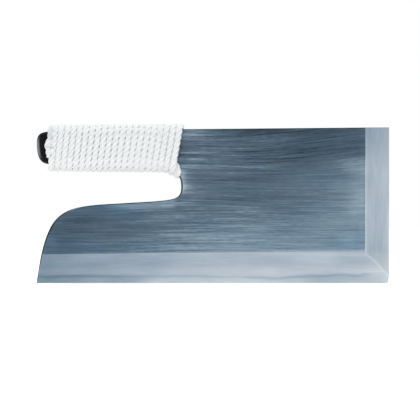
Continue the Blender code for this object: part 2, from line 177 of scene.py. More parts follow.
def arc(centre: Pair, radius: float, start: float, end: float, steps: int) -> Array:
    """Points of an arc: the centre plus the radius times the cosine and sine of each angle."""
    angle = np.linspace(start, end, steps + 1)
    return np.stack([centre[0] + radius * np.cos(angle), centre[1] + radius * np.sin(angle)], axis=1)


def distances(points: Array) -> Array:
    """How far along a path each of its points lies. Only the first three columns are places."""
    steps = np.linalg.norm(np.diff(points[:, :3], axis=0), axis=1)
    return np.concatenate([[0], np.cumsum(steps)])


def resampled(points: Array, step: float) -> Array:
    """Points at even steps along a path, each between the two given ones that it falls among.

    Args:
        points: the path, whose first three columns are places.
        step: the length of a step, at most.

    Returns:
        One row for each step's end.
    """
    along = distances(points)
    marks = np.linspace(0, along[-1], int(np.ceil(along[-1] / step)) + 1)
    return np.stack([np.interp(marks, along, column) for column in points.T], axis=1)


def unit(vectors: Array) -> Array:
    """Vectors divided by their own lengths."""
    return vectors / np.linalg.norm(vectors, axis=-1, keepdims=True)


def square_to(vectors: Array, axes: Array) -> Array:
    """Unit vectors square to axes: each vector less its part along its axis."""
    return unit(vectors - (vectors * axes).sum(axis=1, keepdims=True) * axes)


def grid_triangles(index: Array) -> Array:
    """Two triangles for each cell of a grid of vertex numbers, split from its upper left to its lower
    right corner, so that they face whoever sees the columns run right and the rows run up.

    Args:
        index: vertex numbers, by row and column.

    Returns:
        Vertex numbers of the triangles, one row each.
    """
    low_left, low_right = index[:-1, :-1].ravel(), index[:-1, 1:].ravel()
    top_left, top_right = index[1:, :-1].ravel(), index[1:, 1:].ravel()
    halves = [low_left, low_right, top_left], [low_right, top_right, top_left]
    return np.concatenate([np.stack(half, 1) for half in halves])


def closed_stack(rings: Array, hubs: Array) -> tuple[Array, Array]:
    """Closes a stack of rings of points: a band between each two, and a fan to a hub at either end.

    Args:
        rings: places, by ring and by number round it.
        hubs: places of the first hub and of the last.

    Returns:
        Places, and the vertex numbers of the triangles: first those of the bands, then of the fans.
    """
    index = np.arange(rings.shape[0] * rings.shape[1]).reshape(rings.shape[:2])
    faces = [grid_triangles(np.concatenate([index, index[:, :1]], axis=1))]
    for hub, ring in enumerate((index[0, ::-1], index[-1])):
        faces.append(np.stack([ring, np.roll(ring, -1), np.full(len(ring), index.size + hub)], axis=1))
    return np.concatenate([rings.reshape(-1, 3), hubs]), np.concatenate(faces)


def put(name: str, data: bpy.types.ID) -> bpy.types.Object:
    """Puts an object with its data into the scene, at the origin.

    Args:
        name: the object's name.
        data: its mesh, lamp or camera.

    Returns:
        The object.
    """
    made = bpy.data.objects.new(name, data)
    bpy.context.scene.collection.objects.link(made)
    return made


def make_piece(
    name: str,
    points: Array,
    faces: Array,
    finishes: list[bpy.types.Material],
    slots: Array | None = None,
    corner_grain: Array | None = None,
    attributes: dict[str, Array] | None = None,
) -> bpy.types.Object:
    """Puts a closed surface into a mesh object at the origin, which rides on the knife's one body.

    Args:
        name: the piece's name.
        points: places in millimetres, one row each.
        faces: vertex numbers of the triangles, one row each.
        finishes: the materials of its slots.
        slots: the slot of each face, or none for the first slot everywhere.
        corner_grain: for each face, three pairs along and across the grain, in millimetres.
        attributes: named values, one for each point.

    Returns:
        The object.
    """
    mesh = bpy.data.meshes.new(name)
    mesh.from_pydata((points * MM).tolist(), [], faces.tolist())
    for finish in finishes:
        mesh.materials.append(finish)
    if slots is not None:
        mesh.polygons.foreach_set("material_index", slots.astype(np.int32))
    if corner_grain is not None:
        layer = mesh.uv_layers.new(name=GRAIN)
        layer.data.foreach_set("uv", corner_grain.astype(np.float32).ravel())
    for key, values in (attributes or {}).items():
        layer = mesh.attributes.new(key, "FLOAT", "POINT")
        layer.data.foreach_set("value", values.astype(np.float32))
    mesh.polygons.foreach_set("use_smooth", np.ones(len(faces), bool))
    mesh.set_sharp_from_angle(angle=float(np.radians(40)))
    mesh.update()
    piece = put(name, mesh)
    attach(piece, BODY)
    LOG.info("%s: %d points, %d triangles", name, len(points), len(faces))
    return piece


# Finishes


class Nodes:
    """The nodes of a material or of the world, and the patterns that the finishes share."""

    def __init__(self, owner: bpy.types.Material | bpy.types.World) -> None:
        """Turns the owner's nodes on."""
        owner.use_nodes = True
        self.tree = owner.node_tree

    def feed(self, node: bpy.types.Node, inputs: dict[str | int, Value]) -> None:
        """Gives inputs of a node, by name or number, their values or the outputs that feed them.

        Args:
            node: the node.
            inputs: values and outputs, by the inputs that they go to.
        """
        for key, value in inputs.items():
            if isinstance(value, Socket):
                self.tree.links.new(value, node.inputs[key])
            else:
                node.inputs[key].default_value = value

    def add(
        self, kind: str, *values: Value, output: str | int = 0, stops: Stops = (), **named: Value | str
    ) -> Socket:
        """Adds a node with its settings and links.

        Args:
            kind: the node's type name after "ShaderNode".
            values: what feeds its first inputs, in order.
            output: name or number of the output that is wanted.
            stops: on a colour ramp, places from 0 to 1 and their colours.
            named: its own settings, and what feeds inputs whose names start with a capital.

        Returns:
            The output.
        """
        node = self.tree.nodes.new("ShaderNode" + kind)
        for key in [key for key in named if key[0].islower()]:
            setattr(node, key, named.pop(key))
        self.feed(node, dict(enumerate(values)) | named)
        for number, (place, code) in enumerate(stops):
            elements = node.color_ramp.elements
            element = elements[number] if number < len(elements) else elements.new(1.0)
            element.position, element.color = place, linear(code)
        return node.outputs[output]

    def total(self, start: Value, *terms: tuple[Socket, Value]) -> Socket:
        """A start plus the terms, each an output times its weight.

        Args:
            start: a value or an output.
            terms: outputs and their weights.

        Returns:
            The output of the sum.
        """
        for source, weight in terms:
            start = self.add("Math", source, weight, start, operation="MULTIPLY_ADD")
        return start

    def streaks(self, length: float, width: float, detail: float = 3.0) -> Socket:
        """Noise drawn out along the grain, about 0.5 on average.

        Args:
            length: how long a streak is, in millimetres.
            width: how wide a streak is, in millimetres.
            detail: how many finer octaves it has.

        Returns:
            The noise.
        """
        grain = self.add("UVMap", uv_map=GRAIN)
        shrunk = self.add("VectorMath", grain, (1 / length, 1 / width, 1), operation="MULTIPLY")
        return self.add("TexNoise", Vector=shrunk, Scale=1.0, Detail=detail)

    def patches(self, size: float, detail: float) -> Socket:
        """Noise alike in all directions, about 0.5 on average, in patches of a size in millimetres."""
        place = self.add("TexCoord", output="Object")
        return self.add("TexNoise", Vector=place, Scale=1 / (size * MM), Detail=detail)

    def metal(self, surface: Surface, strength: float, depth: float) -> dict[str, Value]:
        """What feeds a metal's shader.

        Args:
            surface: outputs of the colour, the roughness and the height.
            strength: how strongly the height tilts the surface.
            depth: the full height, in millimetres.

        Returns:
            Values and outputs by the names of the shader's inputs.
        """
        colour, rough, height = surface
        tilt = self.add("Bump", Strength=strength, Distance=depth * MM, Height=height)
        return {"Base Color": colour, "Metallic": 1.0, "Roughness": rough, "Normal": tilt}


@dataclass(frozen=True)
class Finish:
    """A material. Each kind of finish says what feeds its Principled shader."""

    name: str

    def sockets(self, nodes: Nodes) -> dict[str, Value]:
        """What feeds the shader: values and outputs by the names of its inputs."""
        raise NotImplementedError

    def build(self) -> bpy.types.Material:
        """Makes the material.

        Returns:
            The material.
        """
        made = bpy.data.materials.new(self.name)
        nodes = Nodes(made)
        nodes.feed(nodes.tree.nodes["Principled BSDF"], self.sockets(nodes))
        return made


@dataclass(frozen=True)
class GroundIron(Finish):
    """Soft iron, forged and then ground by hand along the blade.

    The wheel leaves long, uneven streaks about a millimetre wide in tones of dark blue grey, broad bands
    where the hand pressed harder, and fine scratches. The real ones are finer than a tenth of a millimetre,
    and are drawn as coarse as they need to be to show. Each has its length, its width and its strength.
    """

    name: str = "soft_iron_ground"
    dark: str = "#2F3D49"
    middle: str = "#5F717F"
    light: str = "#A1B1BB"
    cool: str = "#7091A6"
    roughness: float = 0.42
    uneven_roughness: float = 0.16
    band: tuple[float, float, float] = (75.0, 6.0, 0.45)
    streak: tuple[float, float, float] = (48.0, 1.4, 0.90)
    scratch: tuple[float, float, float] = (6.5, 0.55, 0.55)
    cloud: Pair = (77.0, 27.5)
    cloud_start: float = -0.45

    def surface(self, nodes: Nodes) -> Surface:
        """The colour, the roughness and the height. The tone attribute lifts or sinks the colour over the
        whole face, as painted reflection besides the iron's own tone, the cool attribute adds to the clouds
        of blue, and the streak attribute says how strong the streaks are.

        Args:
            nodes: the material's nodes.

        Returns:
            Their outputs.
        """
        bands = nodes.streaks(*self.band[:2])
        lines = nodes.streaks(*self.streak[:2], detail=4.0)
        scratches = nodes.streaks(*self.scratch[:2])
        tone, cool, strength = (
            nodes.add("Attribute", attribute_name=key, output="Fac") for key in (TONE, COOL, STREAK)
        )
        weights = self.band[2], self.streak[2], self.scratch[2]
        swing = nodes.total(-sum(weights) / 2, *zip((bands, lines, scratches), weights))
        level = nodes.total(0.5, (tone, 1.0), (swing, strength))
        colour = nodes.add("ValToRGB", level, stops=((0.0, self.dark), (0.5, self.middle), (1.0, self.light)))
        share = nodes.total(self.cloud_start, (nodes.streaks(*self.cloud, detail=1.0), 1.0), (cool, 1.0))
        colour = nodes.add(
            "Mix", Factor=share, A=colour, B=linear(self.cool), blend_type="SOFT_LIGHT", **COLOURS
        )
        rough = nodes.total(self.roughness - self.uneven_roughness / 2, (scratches, self.uneven_roughness))
        return colour, rough, scratches

    def sockets(self, nodes: Nodes) -> dict[str, Value]:
        """The ground surface, which its scratches tilt."""
        return nodes.metal(self.surface(nodes), strength=0.35, depth=0.04)


@dataclass(frozen=True)
class StonedMetal(Finish):
    """Iron or steel honed on a fine water stone.

    The stone leaves an even pale haze with soft clouds and hair-thin lines, drawn coarser than real ones,
    and the metal's own tint shows in it: a little lilac in the iron, a little green in the hard steel.
    The arrises are lightened to a plain grey, partly as burnish and partly as a painted highlight.
    """

    dark: str
    middle: str
    light: str
    tint: str
    # Grey of the arrises' burnish and painted highlight, and how strongly it is laid on.
    polish_and_highlight: str = "#D8DADB"
    polish_and_highlight_share: float = 0.6
    roughness: float = 0.34
    uneven_roughness: float = 0.12
    cloud: Pair = (41.6, 13.0)
    tint_cloud: Pair = (59.8, 26.0)
    line: Pair = (22.0, 0.8)
    strength: float = 0.35
    tint_start: float = -0.35

    def surface(self, nodes: Nodes) -> Surface:
        """The colour, the roughness and the height. The tone attribute lifts or sinks the colour, and the
        arris attribute says how much burnish and painted highlight it has.

        Args:
            nodes: the material's nodes.

        Returns:
            Their outputs.
        """
        tone, arris = (nodes.add("Attribute", attribute_name=key, output="Fac") for key in (TONE, ARRIS))
        clouds, lines = nodes.streaks(*self.cloud, detail=2.0), nodes.streaks(*self.line)
        swing = ((clouds, self.strength), (lines, self.strength))
        level = nodes.total(0.5 - self.strength, *swing, (tone, 1.0))
        colour = nodes.add("ValToRGB", level, stops=((0.0, self.dark), (0.5, self.middle), (1.0, self.light)))
        tinted = nodes.total(self.tint_start, (nodes.streaks(*self.tint_cloud, detail=1.0), 1.0))
        # Burnish and painted highlight along the arrises.
        polish_and_highlight = nodes.total(0.0, (arris, self.polish_and_highlight_share))
        layers = ((tinted, self.tint, "SOFT_LIGHT"), (polish_and_highlight, self.polish_and_highlight, "MIX"))
        for share, code, blend in layers:
            colour = nodes.add("Mix", Factor=share, A=colour, B=linear(code), blend_type=blend, **COLOURS)
        rough = nodes.total(self.roughness - self.uneven_roughness / 2, (lines, self.uneven_roughness))
        return colour, rough, lines

    def sockets(self, nodes: Nodes) -> dict[str, Value]:
        """The stoned surface, which its lines tilt a little."""
        return nodes.metal(self.surface(nodes), strength=0.25, depth=0.02)


@dataclass(frozen=True)
class HollowedFlat(Finish):
    """The flat side of the blade: honed on a wide stone, which never touches the hollow in it.

    The hollow keeps the streaks of the wheel that ground it, and a soft, slightly uneven border shows how
    far the stone has reached.
    """

    ground: GroundIron
    stoned: StonedMetal
    start: float
    end: float
    height: float
    reach: float
    uneven: float = 1.3
    inside: float = 0.7
    border: float = 1.2

    def sockets(self, nodes: Nodes) -> dict[str, Value]:
        """The two surfaces, mixed. A place is stoned where it is further than the reach from the hollow's
        middle line, which runs at one height from the start to the end.

        Args:
            nodes: the material's nodes.

        Returns:
            What feeds the shader.
        """
        x, _, z = nodes.add("SeparateXYZ", nodes.add("TexCoord", output="Object")).node.outputs
        on_faces = nodes.add("Clamp", x, self.start * MM, self.end * MM)
        off_x = nodes.add("Math", x, on_faces, operation="SUBTRACT")
        off_z = nodes.add("Math", z, self.height * MM, operation="SUBTRACT")
        off = nodes.add("CombineXYZ", off_x, off_z)
        away = nodes.add("VectorMath", off, operation="LENGTH", output="Value")
        away = nodes.total(away, (nodes.patches(size=14, detail=2.0), self.uneven * MM))
        low = self.reach - self.inside
        share = nodes.add("MapRange", away, low * MM, (low + self.border) * MM)
        surface, kinds = [], ("RGBA", "FLOAT", "FLOAT")
        for inner, outer, kind in zip(self.ground.surface(nodes), self.stoned.surface(nodes), kinds):
            surface.append(nodes.add("Mix", Factor=share, A=inner, B=outer, data_type=kind, output="Result"))
        return nodes.metal(tuple(surface), strength=0.3, depth=0.03)


@dataclass(frozen=True)
class ForgedSkin(Finish):
    """The oxide skin that forging leaves on iron, rubbed smooth on the eased edges.

    It is nearly black, and paler where the hand has worn it. Seen edge on, it mirrors little.
    """

    name: str = "soft_iron_forged_skin"
    dark: str = "#14191E"
    worn: str = "#8494A0"
    edge_on: tuple[float, ...] = (0.2, 0.22, 0.25, 1.0)
    roughness: float = 0.42
    uneven_roughness: float = 0.3

    def sockets(self, nodes: Nodes) -> dict[str, Value]:
        """The skin's patches. The wear attribute says how much it is worn.

        Args:
            nodes: the material's nodes.

        Returns:
            What feeds the shader.
        """
        patches = nodes.patches(size=9, detail=4.0)
        wear = nodes.add("Attribute", attribute_name=WEAR, output="Fac")
        level = nodes.total(-0.15, (wear, 1.0), (patches, 0.5))
        colour = nodes.add("ValToRGB", level, stops=((0.0, self.dark), (1.0, self.worn)))
        rough = nodes.total(self.roughness - self.uneven_roughness / 2, (patches, self.uneven_roughness))
        made = nodes.metal((colour, rough, patches), strength=0.3, depth=0.05)
        return made | {"Specular Tint": self.edge_on}


@dataclass(frozen=True)
class BlackLacquer(Finish):
    """Black lacquer, brushed on wood in coats and buffed to a gloss.

    It mirrors the room in a thin clear coat that ripples a little, as the brush left it, and has a painted
    grey highlight, a little matt, on the butt's rounded edge.
    """

    name: str = "black_lacquer_polished"
    deep: str = "#030507"
    dusty: str = "#0B0E11"
    # Grey of the painted highlight on the butt's rounded edge, and how matt it makes the lacquer.
    edge_highlight: str = "#8C8D93"
    roughness: float = 0.17
    uneven_roughness: float = 0.14
    highlight_roughness: float = 0.25
    ripple: float = 3.5

    def sockets(self, nodes: Nodes) -> dict[str, Value]:
        """The lacquer's haze and ripples. The arris attribute says how much painted highlight it has.

        Args:
            nodes: the material's nodes.

        Returns:
            What feeds the shader.
        """
        haze, ripples = nodes.patches(size=6, detail=3.0), nodes.patches(self.ripple, detail=1.0)
        # How much painted highlight lies on the butt's rounded edge.
        highlight_share = nodes.add("Attribute", attribute_name=ARRIS, output="Fac")
        colour = nodes.add("ValToRGB", haze, stops=((0.3, self.deep), (0.8, self.dusty)))
        colour = nodes.add("Mix", Factor=highlight_share, A=colour, B=linear(self.edge_highlight), **COLOURS)
        rough = self.roughness - self.uneven_roughness / 2
        return {
            "Base Color": colour,
            "Roughness": nodes.total(rough, (haze, self.uneven_roughness), (highlight_share, self.highlight_roughness)),
            "IOR": 1.5,
            "Specular IOR Level": 0.1,
            "Normal": nodes.add("Bump", Strength=0.25, Distance=0.05 * MM, Height=ripples),
        }


@dataclass(frozen=True)
class CottonStrand(Finish):
    """White cotton, spun to yarns that are laid into a strand.

    The yarns, about 0.8 mm wide, run round the strand against its lay, so that on the cord they lie almost
    straight along it. The fibres in them, drawn 0.7 mm across and so far coarser than real ones, give a
    dull, soft white with a faint sheen, and painted shade greys it in places.
    """

    name: str = "cotton_three_strand"
    white: str = "#F8F9F9"
    shade: str = "#CFD5D9"
    roughness: float = 0.88
    sheen: float = 0.8
    sheen_roughness: float = 0.5
    yarns: int = 8
    yarn_lay: float = -0.58
    wool: float = 2.2
    fibre: float = 0.72

    def sockets(self, nodes: Nodes) -> dict[str, Value]:
        """The yarns and their fibres. The grain map holds the share of the way round a strand, and the
        place along it in girths. The tone attribute holds painted shade, which greys the cord.

        Args:
            nodes: the material's nodes.

        Returns:
            What feeds the shader.
        """
        turn, along, _ = nodes.add("SeparateXYZ", nodes.add("UVMap", uv_map=GRAIN)).node.outputs
        phase = nodes.total(0.0, (nodes.total(turn, (along, self.yarn_lay)), self.yarns * 2 * np.pi))
        yarn = nodes.total(0.5, (nodes.add("Math", phase, operation="COSINE"), 0.5))
        # The painted shade, which greys the cotton.
        shade_amount = nodes.add("Attribute", attribute_name=TONE, output="Fac")
        level = nodes.total(0.3, (nodes.patches(self.wool, detail=4.0), 0.8), (yarn, 0.35), (shade_amount, -0.8))
        height = nodes.total(yarn, (nodes.patches(self.fibre, detail=3.0), 0.5))
        return {
            "Base Color": nodes.add("ValToRGB", level, stops=((0.15, self.shade), (0.75, self.white))),
            "Roughness": self.roughness,
            "IOR": 1.46,
            "Sheen Weight": self.sheen,
            "Sheen Roughness": self.sheen_roughness,
            "Normal": nodes.add("Bump", Strength=0.5, Distance=0.10 * MM, Height=height),
        }


@dataclass(frozen=True)
class DrawnBrass(Finish):
    """Brass rod, cut, headed and filed flush.

    It is a warm yellow with dull brown patches, where its shine is weaker.
    """

    name: str = "brass_drawn"
    bright: str = "#C9A961"
    dull: str = "#94773B"
    roughness: float = 0.36
    uneven_roughness: float = 0.2

    def sockets(self, nodes: Nodes) -> dict[str, Value]:
        """The brass with its patches.

        Args:
            nodes: the material's nodes.

        Returns:
            What feeds the shader.
        """
        patches = nodes.patches(size=2, detail=4.0)
        rough = nodes.total(self.roughness - self.uneven_roughness / 2, (patches, self.uneven_roughness))
        colour = nodes.add("ValToRGB", patches, stops=((0.3, self.dull), (0.7, self.bright)))
        return {"Base Color": colour, "Metallic": 1.0, "Roughness": rough}


@dataclass(frozen=True)
class RoomWhite(Finish):
    """Matt white paint on the floor. Where the camera or a mirror sees it, it also glows a little, so that
    it ends in white."""

    name: str = "floor_white"
    paint: str = "#F8F8F8"
    glow: float = 0.35

    def sockets(self, nodes: Nodes) -> dict[str, Value]:
        """The paint and its glow.

        Args:
            nodes: the material's nodes.

        Returns:
            What feeds the shader.
        """
        return {
            "Base Color": linear(self.paint),
            "Roughness": 1.0,
            "Specular IOR Level": 0.0,
            "Emission Color": (1, 1, 1, 1),
            "Emission Strength": nodes.total(0.0, (seen(nodes, "Camera", "Glossy"), self.glow)),
        }


def seen(nodes: Nodes, *kinds: str) -> Socket:
    """One where a ray is of one of the kinds, such as Camera, and otherwise nothing.

    Args:
        nodes: the owner's nodes.
        kinds: the kinds of ray.

    Returns:
        The output.
    """
    rays = nodes.add("LightPath").node.outputs
    found = rays[f"Is {kinds[0]} Ray"]
    for kind in kinds[1:]:
        found = nodes.add("Math", found, rays[f"Is {kind} Ray"], operation="MAXIMUM")
    return found


# Outline of the knife


@dataclass(frozen=True)
class KnifeOutline:
    """The knife seen from the bevelled side, in millimetres. Places run along X and heights over the
    cutting edge, and the sizes are those of the part's source."""

    heel_x: float = -150.0
    front_x: float = 150.0
    spine: float = 132.3
    thickness: float = 3.8
    heel_rake: float = float(np.radians(8.7))
    heel_straight: float = 5.0
    heel_run: float = 59.1
    heel_pull: float = 54.2
    shelf_pull: float = 40.5
    shelf_height: float = 67.1
    shelf_slope: float = 0.058
    neck_x: float = -26.9
    neck_straight: float = 1.2
    lower_fillet_run: float = 30.6
    lower_fillet_pulls: Pair = (0.92, 0.75)
    upper_fillet: float = 16.0
    underside: float = 99.2
    butt_x: float = -149.9
    butt_taper: float = 13.9
    shoulder_top: float = 129.7
    shoulder_low: float = 100.1
    butt_top: float = 126.6
    butt_low_curve: Knots = ((-139.4, 101.1), (-147.0, 101.6), (-149.5, 107.4), (-149.5, 118.5))
    butt_top_curve: Knots = ((-149.5, 118.5), (-149.4, 124.2), (-149.0, 127.8), (-140.5, 128.8))

    @property
    def shoulder_x(self) -> float:
        """Where the core starts to taper to the butt."""
        return self.butt_x + self.butt_taper

    @property
    def fillet_centre(self) -> Pair:
        """Centre of the neck's upper fillet."""
        return self.neck_x - self.upper_fillet, self.underside - self.upper_fillet

    def top(self, x: Array) -> Array:
        """Height of the spine and of the core's top: two straight lines that meet at the shoulder."""
        places = (self.butt_x, self.shoulder_x, self.front_x)
        return np.interp(x, places, (self.butt_top, self.shoulder_top, self.spine))

    def low(self, x: Array, clearance: float = 0.0) -> Array:
        """Height of a line that keeps a clearance below the core's underside and the neck's upper fillet,
        which is a circle of the fillet's radius less the clearance.

        Args:
            x: places along the knife.
            clearance: how far below the core it runs.

        Returns:
            Its heights.
        """
        fillet_x, fillet_z = self.fillet_centre
        share = (x - fillet_x) / (self.shoulder_x - fillet_x)
        line = self.underside + share * (self.shoulder_low - self.underside) - clearance
        reach = max(self.upper_fillet - clearance, 0.0)
        curve = fillet_z + np.sqrt(np.maximum(reach**2 - (x - fillet_x) ** 2, 0.0))
        return np.where(x > fillet_x, curve, line)

    def shelf(self, x: Array | float) -> Array | float:
        """Height of the blade's top edge under the handle, a straight line that rises to the neck."""
        return self.shelf_height + self.shelf_slope * (x - self.heel_x - self.heel_run)

    def heel_and_shelf(self) -> Array:
        """The raked heel, its curve into the shelf, and the lower fillet up to the neck.

        Returns:
            Points from the heel's foot to the neck.
        """
        rise, run = np.cos(self.heel_rake), np.sin(self.heel_rake)
        start = (self.heel_x + self.heel_straight * run / rise, self.heel_straight)
        start_handle = (start[0] + self.heel_pull * run, start[1] + self.heel_pull * rise)
        end_x = self.heel_x + self.heel_run
        handle_x = end_x - self.shelf_pull
        heel = cubic(start, start_handle, (handle_x, self.shelf(handle_x)), (end_x, self.shelf(end_x)), 44)
        fillet_x = self.neck_x - self.lower_fillet_run
        fillet_start = (fillet_x, self.shelf(fillet_x))
        fillet_end = (self.neck_x, self.fillet_centre[1] - self.neck_straight)
        pull_x = fillet_x + self.lower_fillet_run * self.lower_fillet_pulls[0]
        pull_z = fillet_end[1] - (fillet_end[1] - fillet_start[1]) * self.lower_fillet_pulls[1]
        fillet = cubic(fillet_start, (pull_x, self.shelf(pull_x)), (self.neck_x, pull_z), fillet_end, 30)
        return np.concatenate([[(self.heel_x, 0.0)], heel, fillet])

    def butt(self) -> Array:
        """The end of the core, from its underside round to its top: two cubic curves that meet upright."""
        low_arc, top_arc = cubic(*self.butt_low_curve, 18), cubic(*self.butt_top_curve, 14)
        return np.concatenate([[(self.shoulder_x, self.shoulder_low)], low_arc, top_arc[1:]])

    def left_side(self) -> Array:
        """Everything on the left of the blade and its tang, from the heel's foot round to the butt's top."""
        fillet = arc(self.fillet_centre, self.upper_fillet, 0, np.pi / 2, 20)
        return np.concatenate([self.heel_and_shelf(), fillet, self.butt()])


# Blade


@dataclass
class BladeForm:
    """The surfaces of the blade and of the hard steel plate behind its edge, each a Y worked out from X
    and Z, and the lines on them where one finish ends."""

    outline: KnifeOutline = field(default_factory=KnifeOutline)
    bevel_height: float = 24.0
    edge_land: float = 0.25
    bevel_power: float = 0.88
    front_bevel: float = 19.8
    mitre_scale: float = 0.3933
    mitre_power: float = 1.297
    joint_knots: Knots = (
        (-150, 6.4), (-104, 6.8), (-60, 6.5), (-28, 7.1), (19, 6.1), (56, 5.0), (76, 6.7), (94, 6.9),
        (112, 7.9), (123, 7.2), (130, 8.5), (150, 8.6),
    )  # fmt: skip
    joint_waves: tuple[tuple[float, float, float], ...] = ((0.12, 3.1, 0.0), (0.10, 7.7, 1.0))
    joint_calm: Pair = (130.0, 118.0)
    joint_gap: float = 0.03
    joint_cover: Pair = (0.12, 3.0)
    stoned_knots: Knots = ((-150, 24.6), (-95, 25.2), (-27, 26.0), (41, 26.5), (130, 27.0))
    plate_height: float = 45.0
    plate_thickness: float = 1.4
    plate_seam: Pair = (0.05, 0.1)
    hollow_depth: float = 0.3
    hollow_half_height: float = 25.0
    hollow_share: float = 0.6
    hollow_low: float = 8.5
    hollow_ends: Pair = (14.0, 8.0)

    @property
    def half(self) -> float:
        """Half of the blade's thickness."""
        return self.outline.thickness / 2

    @property
    def arris_x(self) -> float:
        """Where the front bevel's arris stands."""
        return self.outline.front_x - self.front_bevel

    @property
    def hollow_line(self) -> tuple[float, float, float]:
        """Start, end and height of the hollow's middle line.

        Returns:
            The two places along X, and the height.
        """
        start = self.outline.heel_x + self.hollow_ends[0] + self.hollow_half_height
        end = self.outline.front_x - self.hollow_ends[1] - self.hollow_half_height
        return start, end, self.hollow_low + self.hollow_half_height

    def mitre_drop(self, run: Array) -> Array:
        """How far the mitre has dropped at a run past the front bevel's arris: scale * run to a power."""
        return self.mitre_scale * np.maximum(run, 0) ** self.mitre_power

    def edge_depth(self, below: Array) -> Array:
        """Depth of the edge bevel at a drop below its arris: a power of it, as the wheel hollows it."""
        full = self.outline.thickness - self.edge_land
        return full * (np.maximum(below, 0) / self.bevel_height) ** self.bevel_power

    def front_y(self, x: Array, z: Array) -> Array:
        """Y of the bevelled side: minus half the thickness, plus the deeper of the two bevels."""
        drop = self.mitre_drop(x - self.arris_x)
        return np.maximum(self.edge_depth(self.bevel_height - z), self.edge_depth(drop)) - self.half

    def back_y(self, x: Array, z: Array) -> Array:
        """Y of the flat side, less the depth of its hollow: a round bar's sagitta over its axis, ended by
        its round ends and flattened to the hollow's depth.

        Args:
            x: places along the knife.
            z: heights.

        Returns:
            Y at each place.
        """
        start, end, height = self.hollow_line
        away = np.hypot(x - np.clip(x, start, end), z - height)
        bar = self.hollow_half_height / self.hollow_share
        rim = np.sqrt(1 - self.hollow_share**2)
        sagitta = np.sqrt(np.maximum(bar**2 - away**2, 0)) - rim * bar
        return self.half - np.maximum(sagitta, 0) * self.hollow_depth / ((1 - rim) * bar)

    def joint_height(self, x: Array) -> Array:
        """Height at which the joint of iron and steel comes out on the bevelled side, a wavy line."""
        waves = sum(height * np.sin(x / length + start) for height, length, start in self.joint_waves)
        return eased_path(x, self.joint_knots) + waves * smoothstep(x, *self.joint_calm)

    def joint_y(self, x: Array, z: Array) -> Array:
        """Y of the joint's surface: from the bevel at the joint's line to the plate's inner face at its
        top, and everywhere a little behind the bevelled side.

        Args:
            x: places along the knife.
            z: heights.

        Returns:
            Y at each place.
        """
        line = self.joint_height(x)
        inner = self.half - self.plate_thickness
        at_line = self.edge_depth(self.bevel_height - line) - self.half
        share = np.clip((z - line) / (self.plate_height - line), 0, 1)
        cover = self.joint_gap + self.joint_cover[0] * np.clip((z - line) / self.joint_cover[1], 0, 1)
        return np.maximum(at_line + share * (inner - at_line), self.front_y(x, z) + cover)

    def body_back(self, x: Array, z: Array) -> Array:
        """Y of the iron's back: the flat side above the plate, and the joint's surface behind it."""
        top = self.plate_height + sum(self.plate_seam) / 2
        return np.where(z > top, self.back_y(x, z), self.joint_y(x, z))

    def plate_front(self, x: Array, z: Array) -> Array:
        """Y of the steel's front: the bevel below the joint's line, and the joint's surface above it."""
        inner = self.joint_y(x, z) + self.joint_gap
        return np.where(z <= self.joint_height(x) + 1e-6, self.front_y(x, z), inner)

    def stoned_line(self, x: Array) -> Array:
        """Height up to which the bevel's stoned finish reaches, a little over the arris."""
        return eased_path(x, self.stoned_knots)

    def on_front(self, x: Array, z: Array) -> Array:
        """Whether a place is on the front bevel: past its arris and above the mitre."""
        run = x - self.arris_x
        return (run > -1e-6) & (z > self.bevel_height - self.mitre_drop(run))


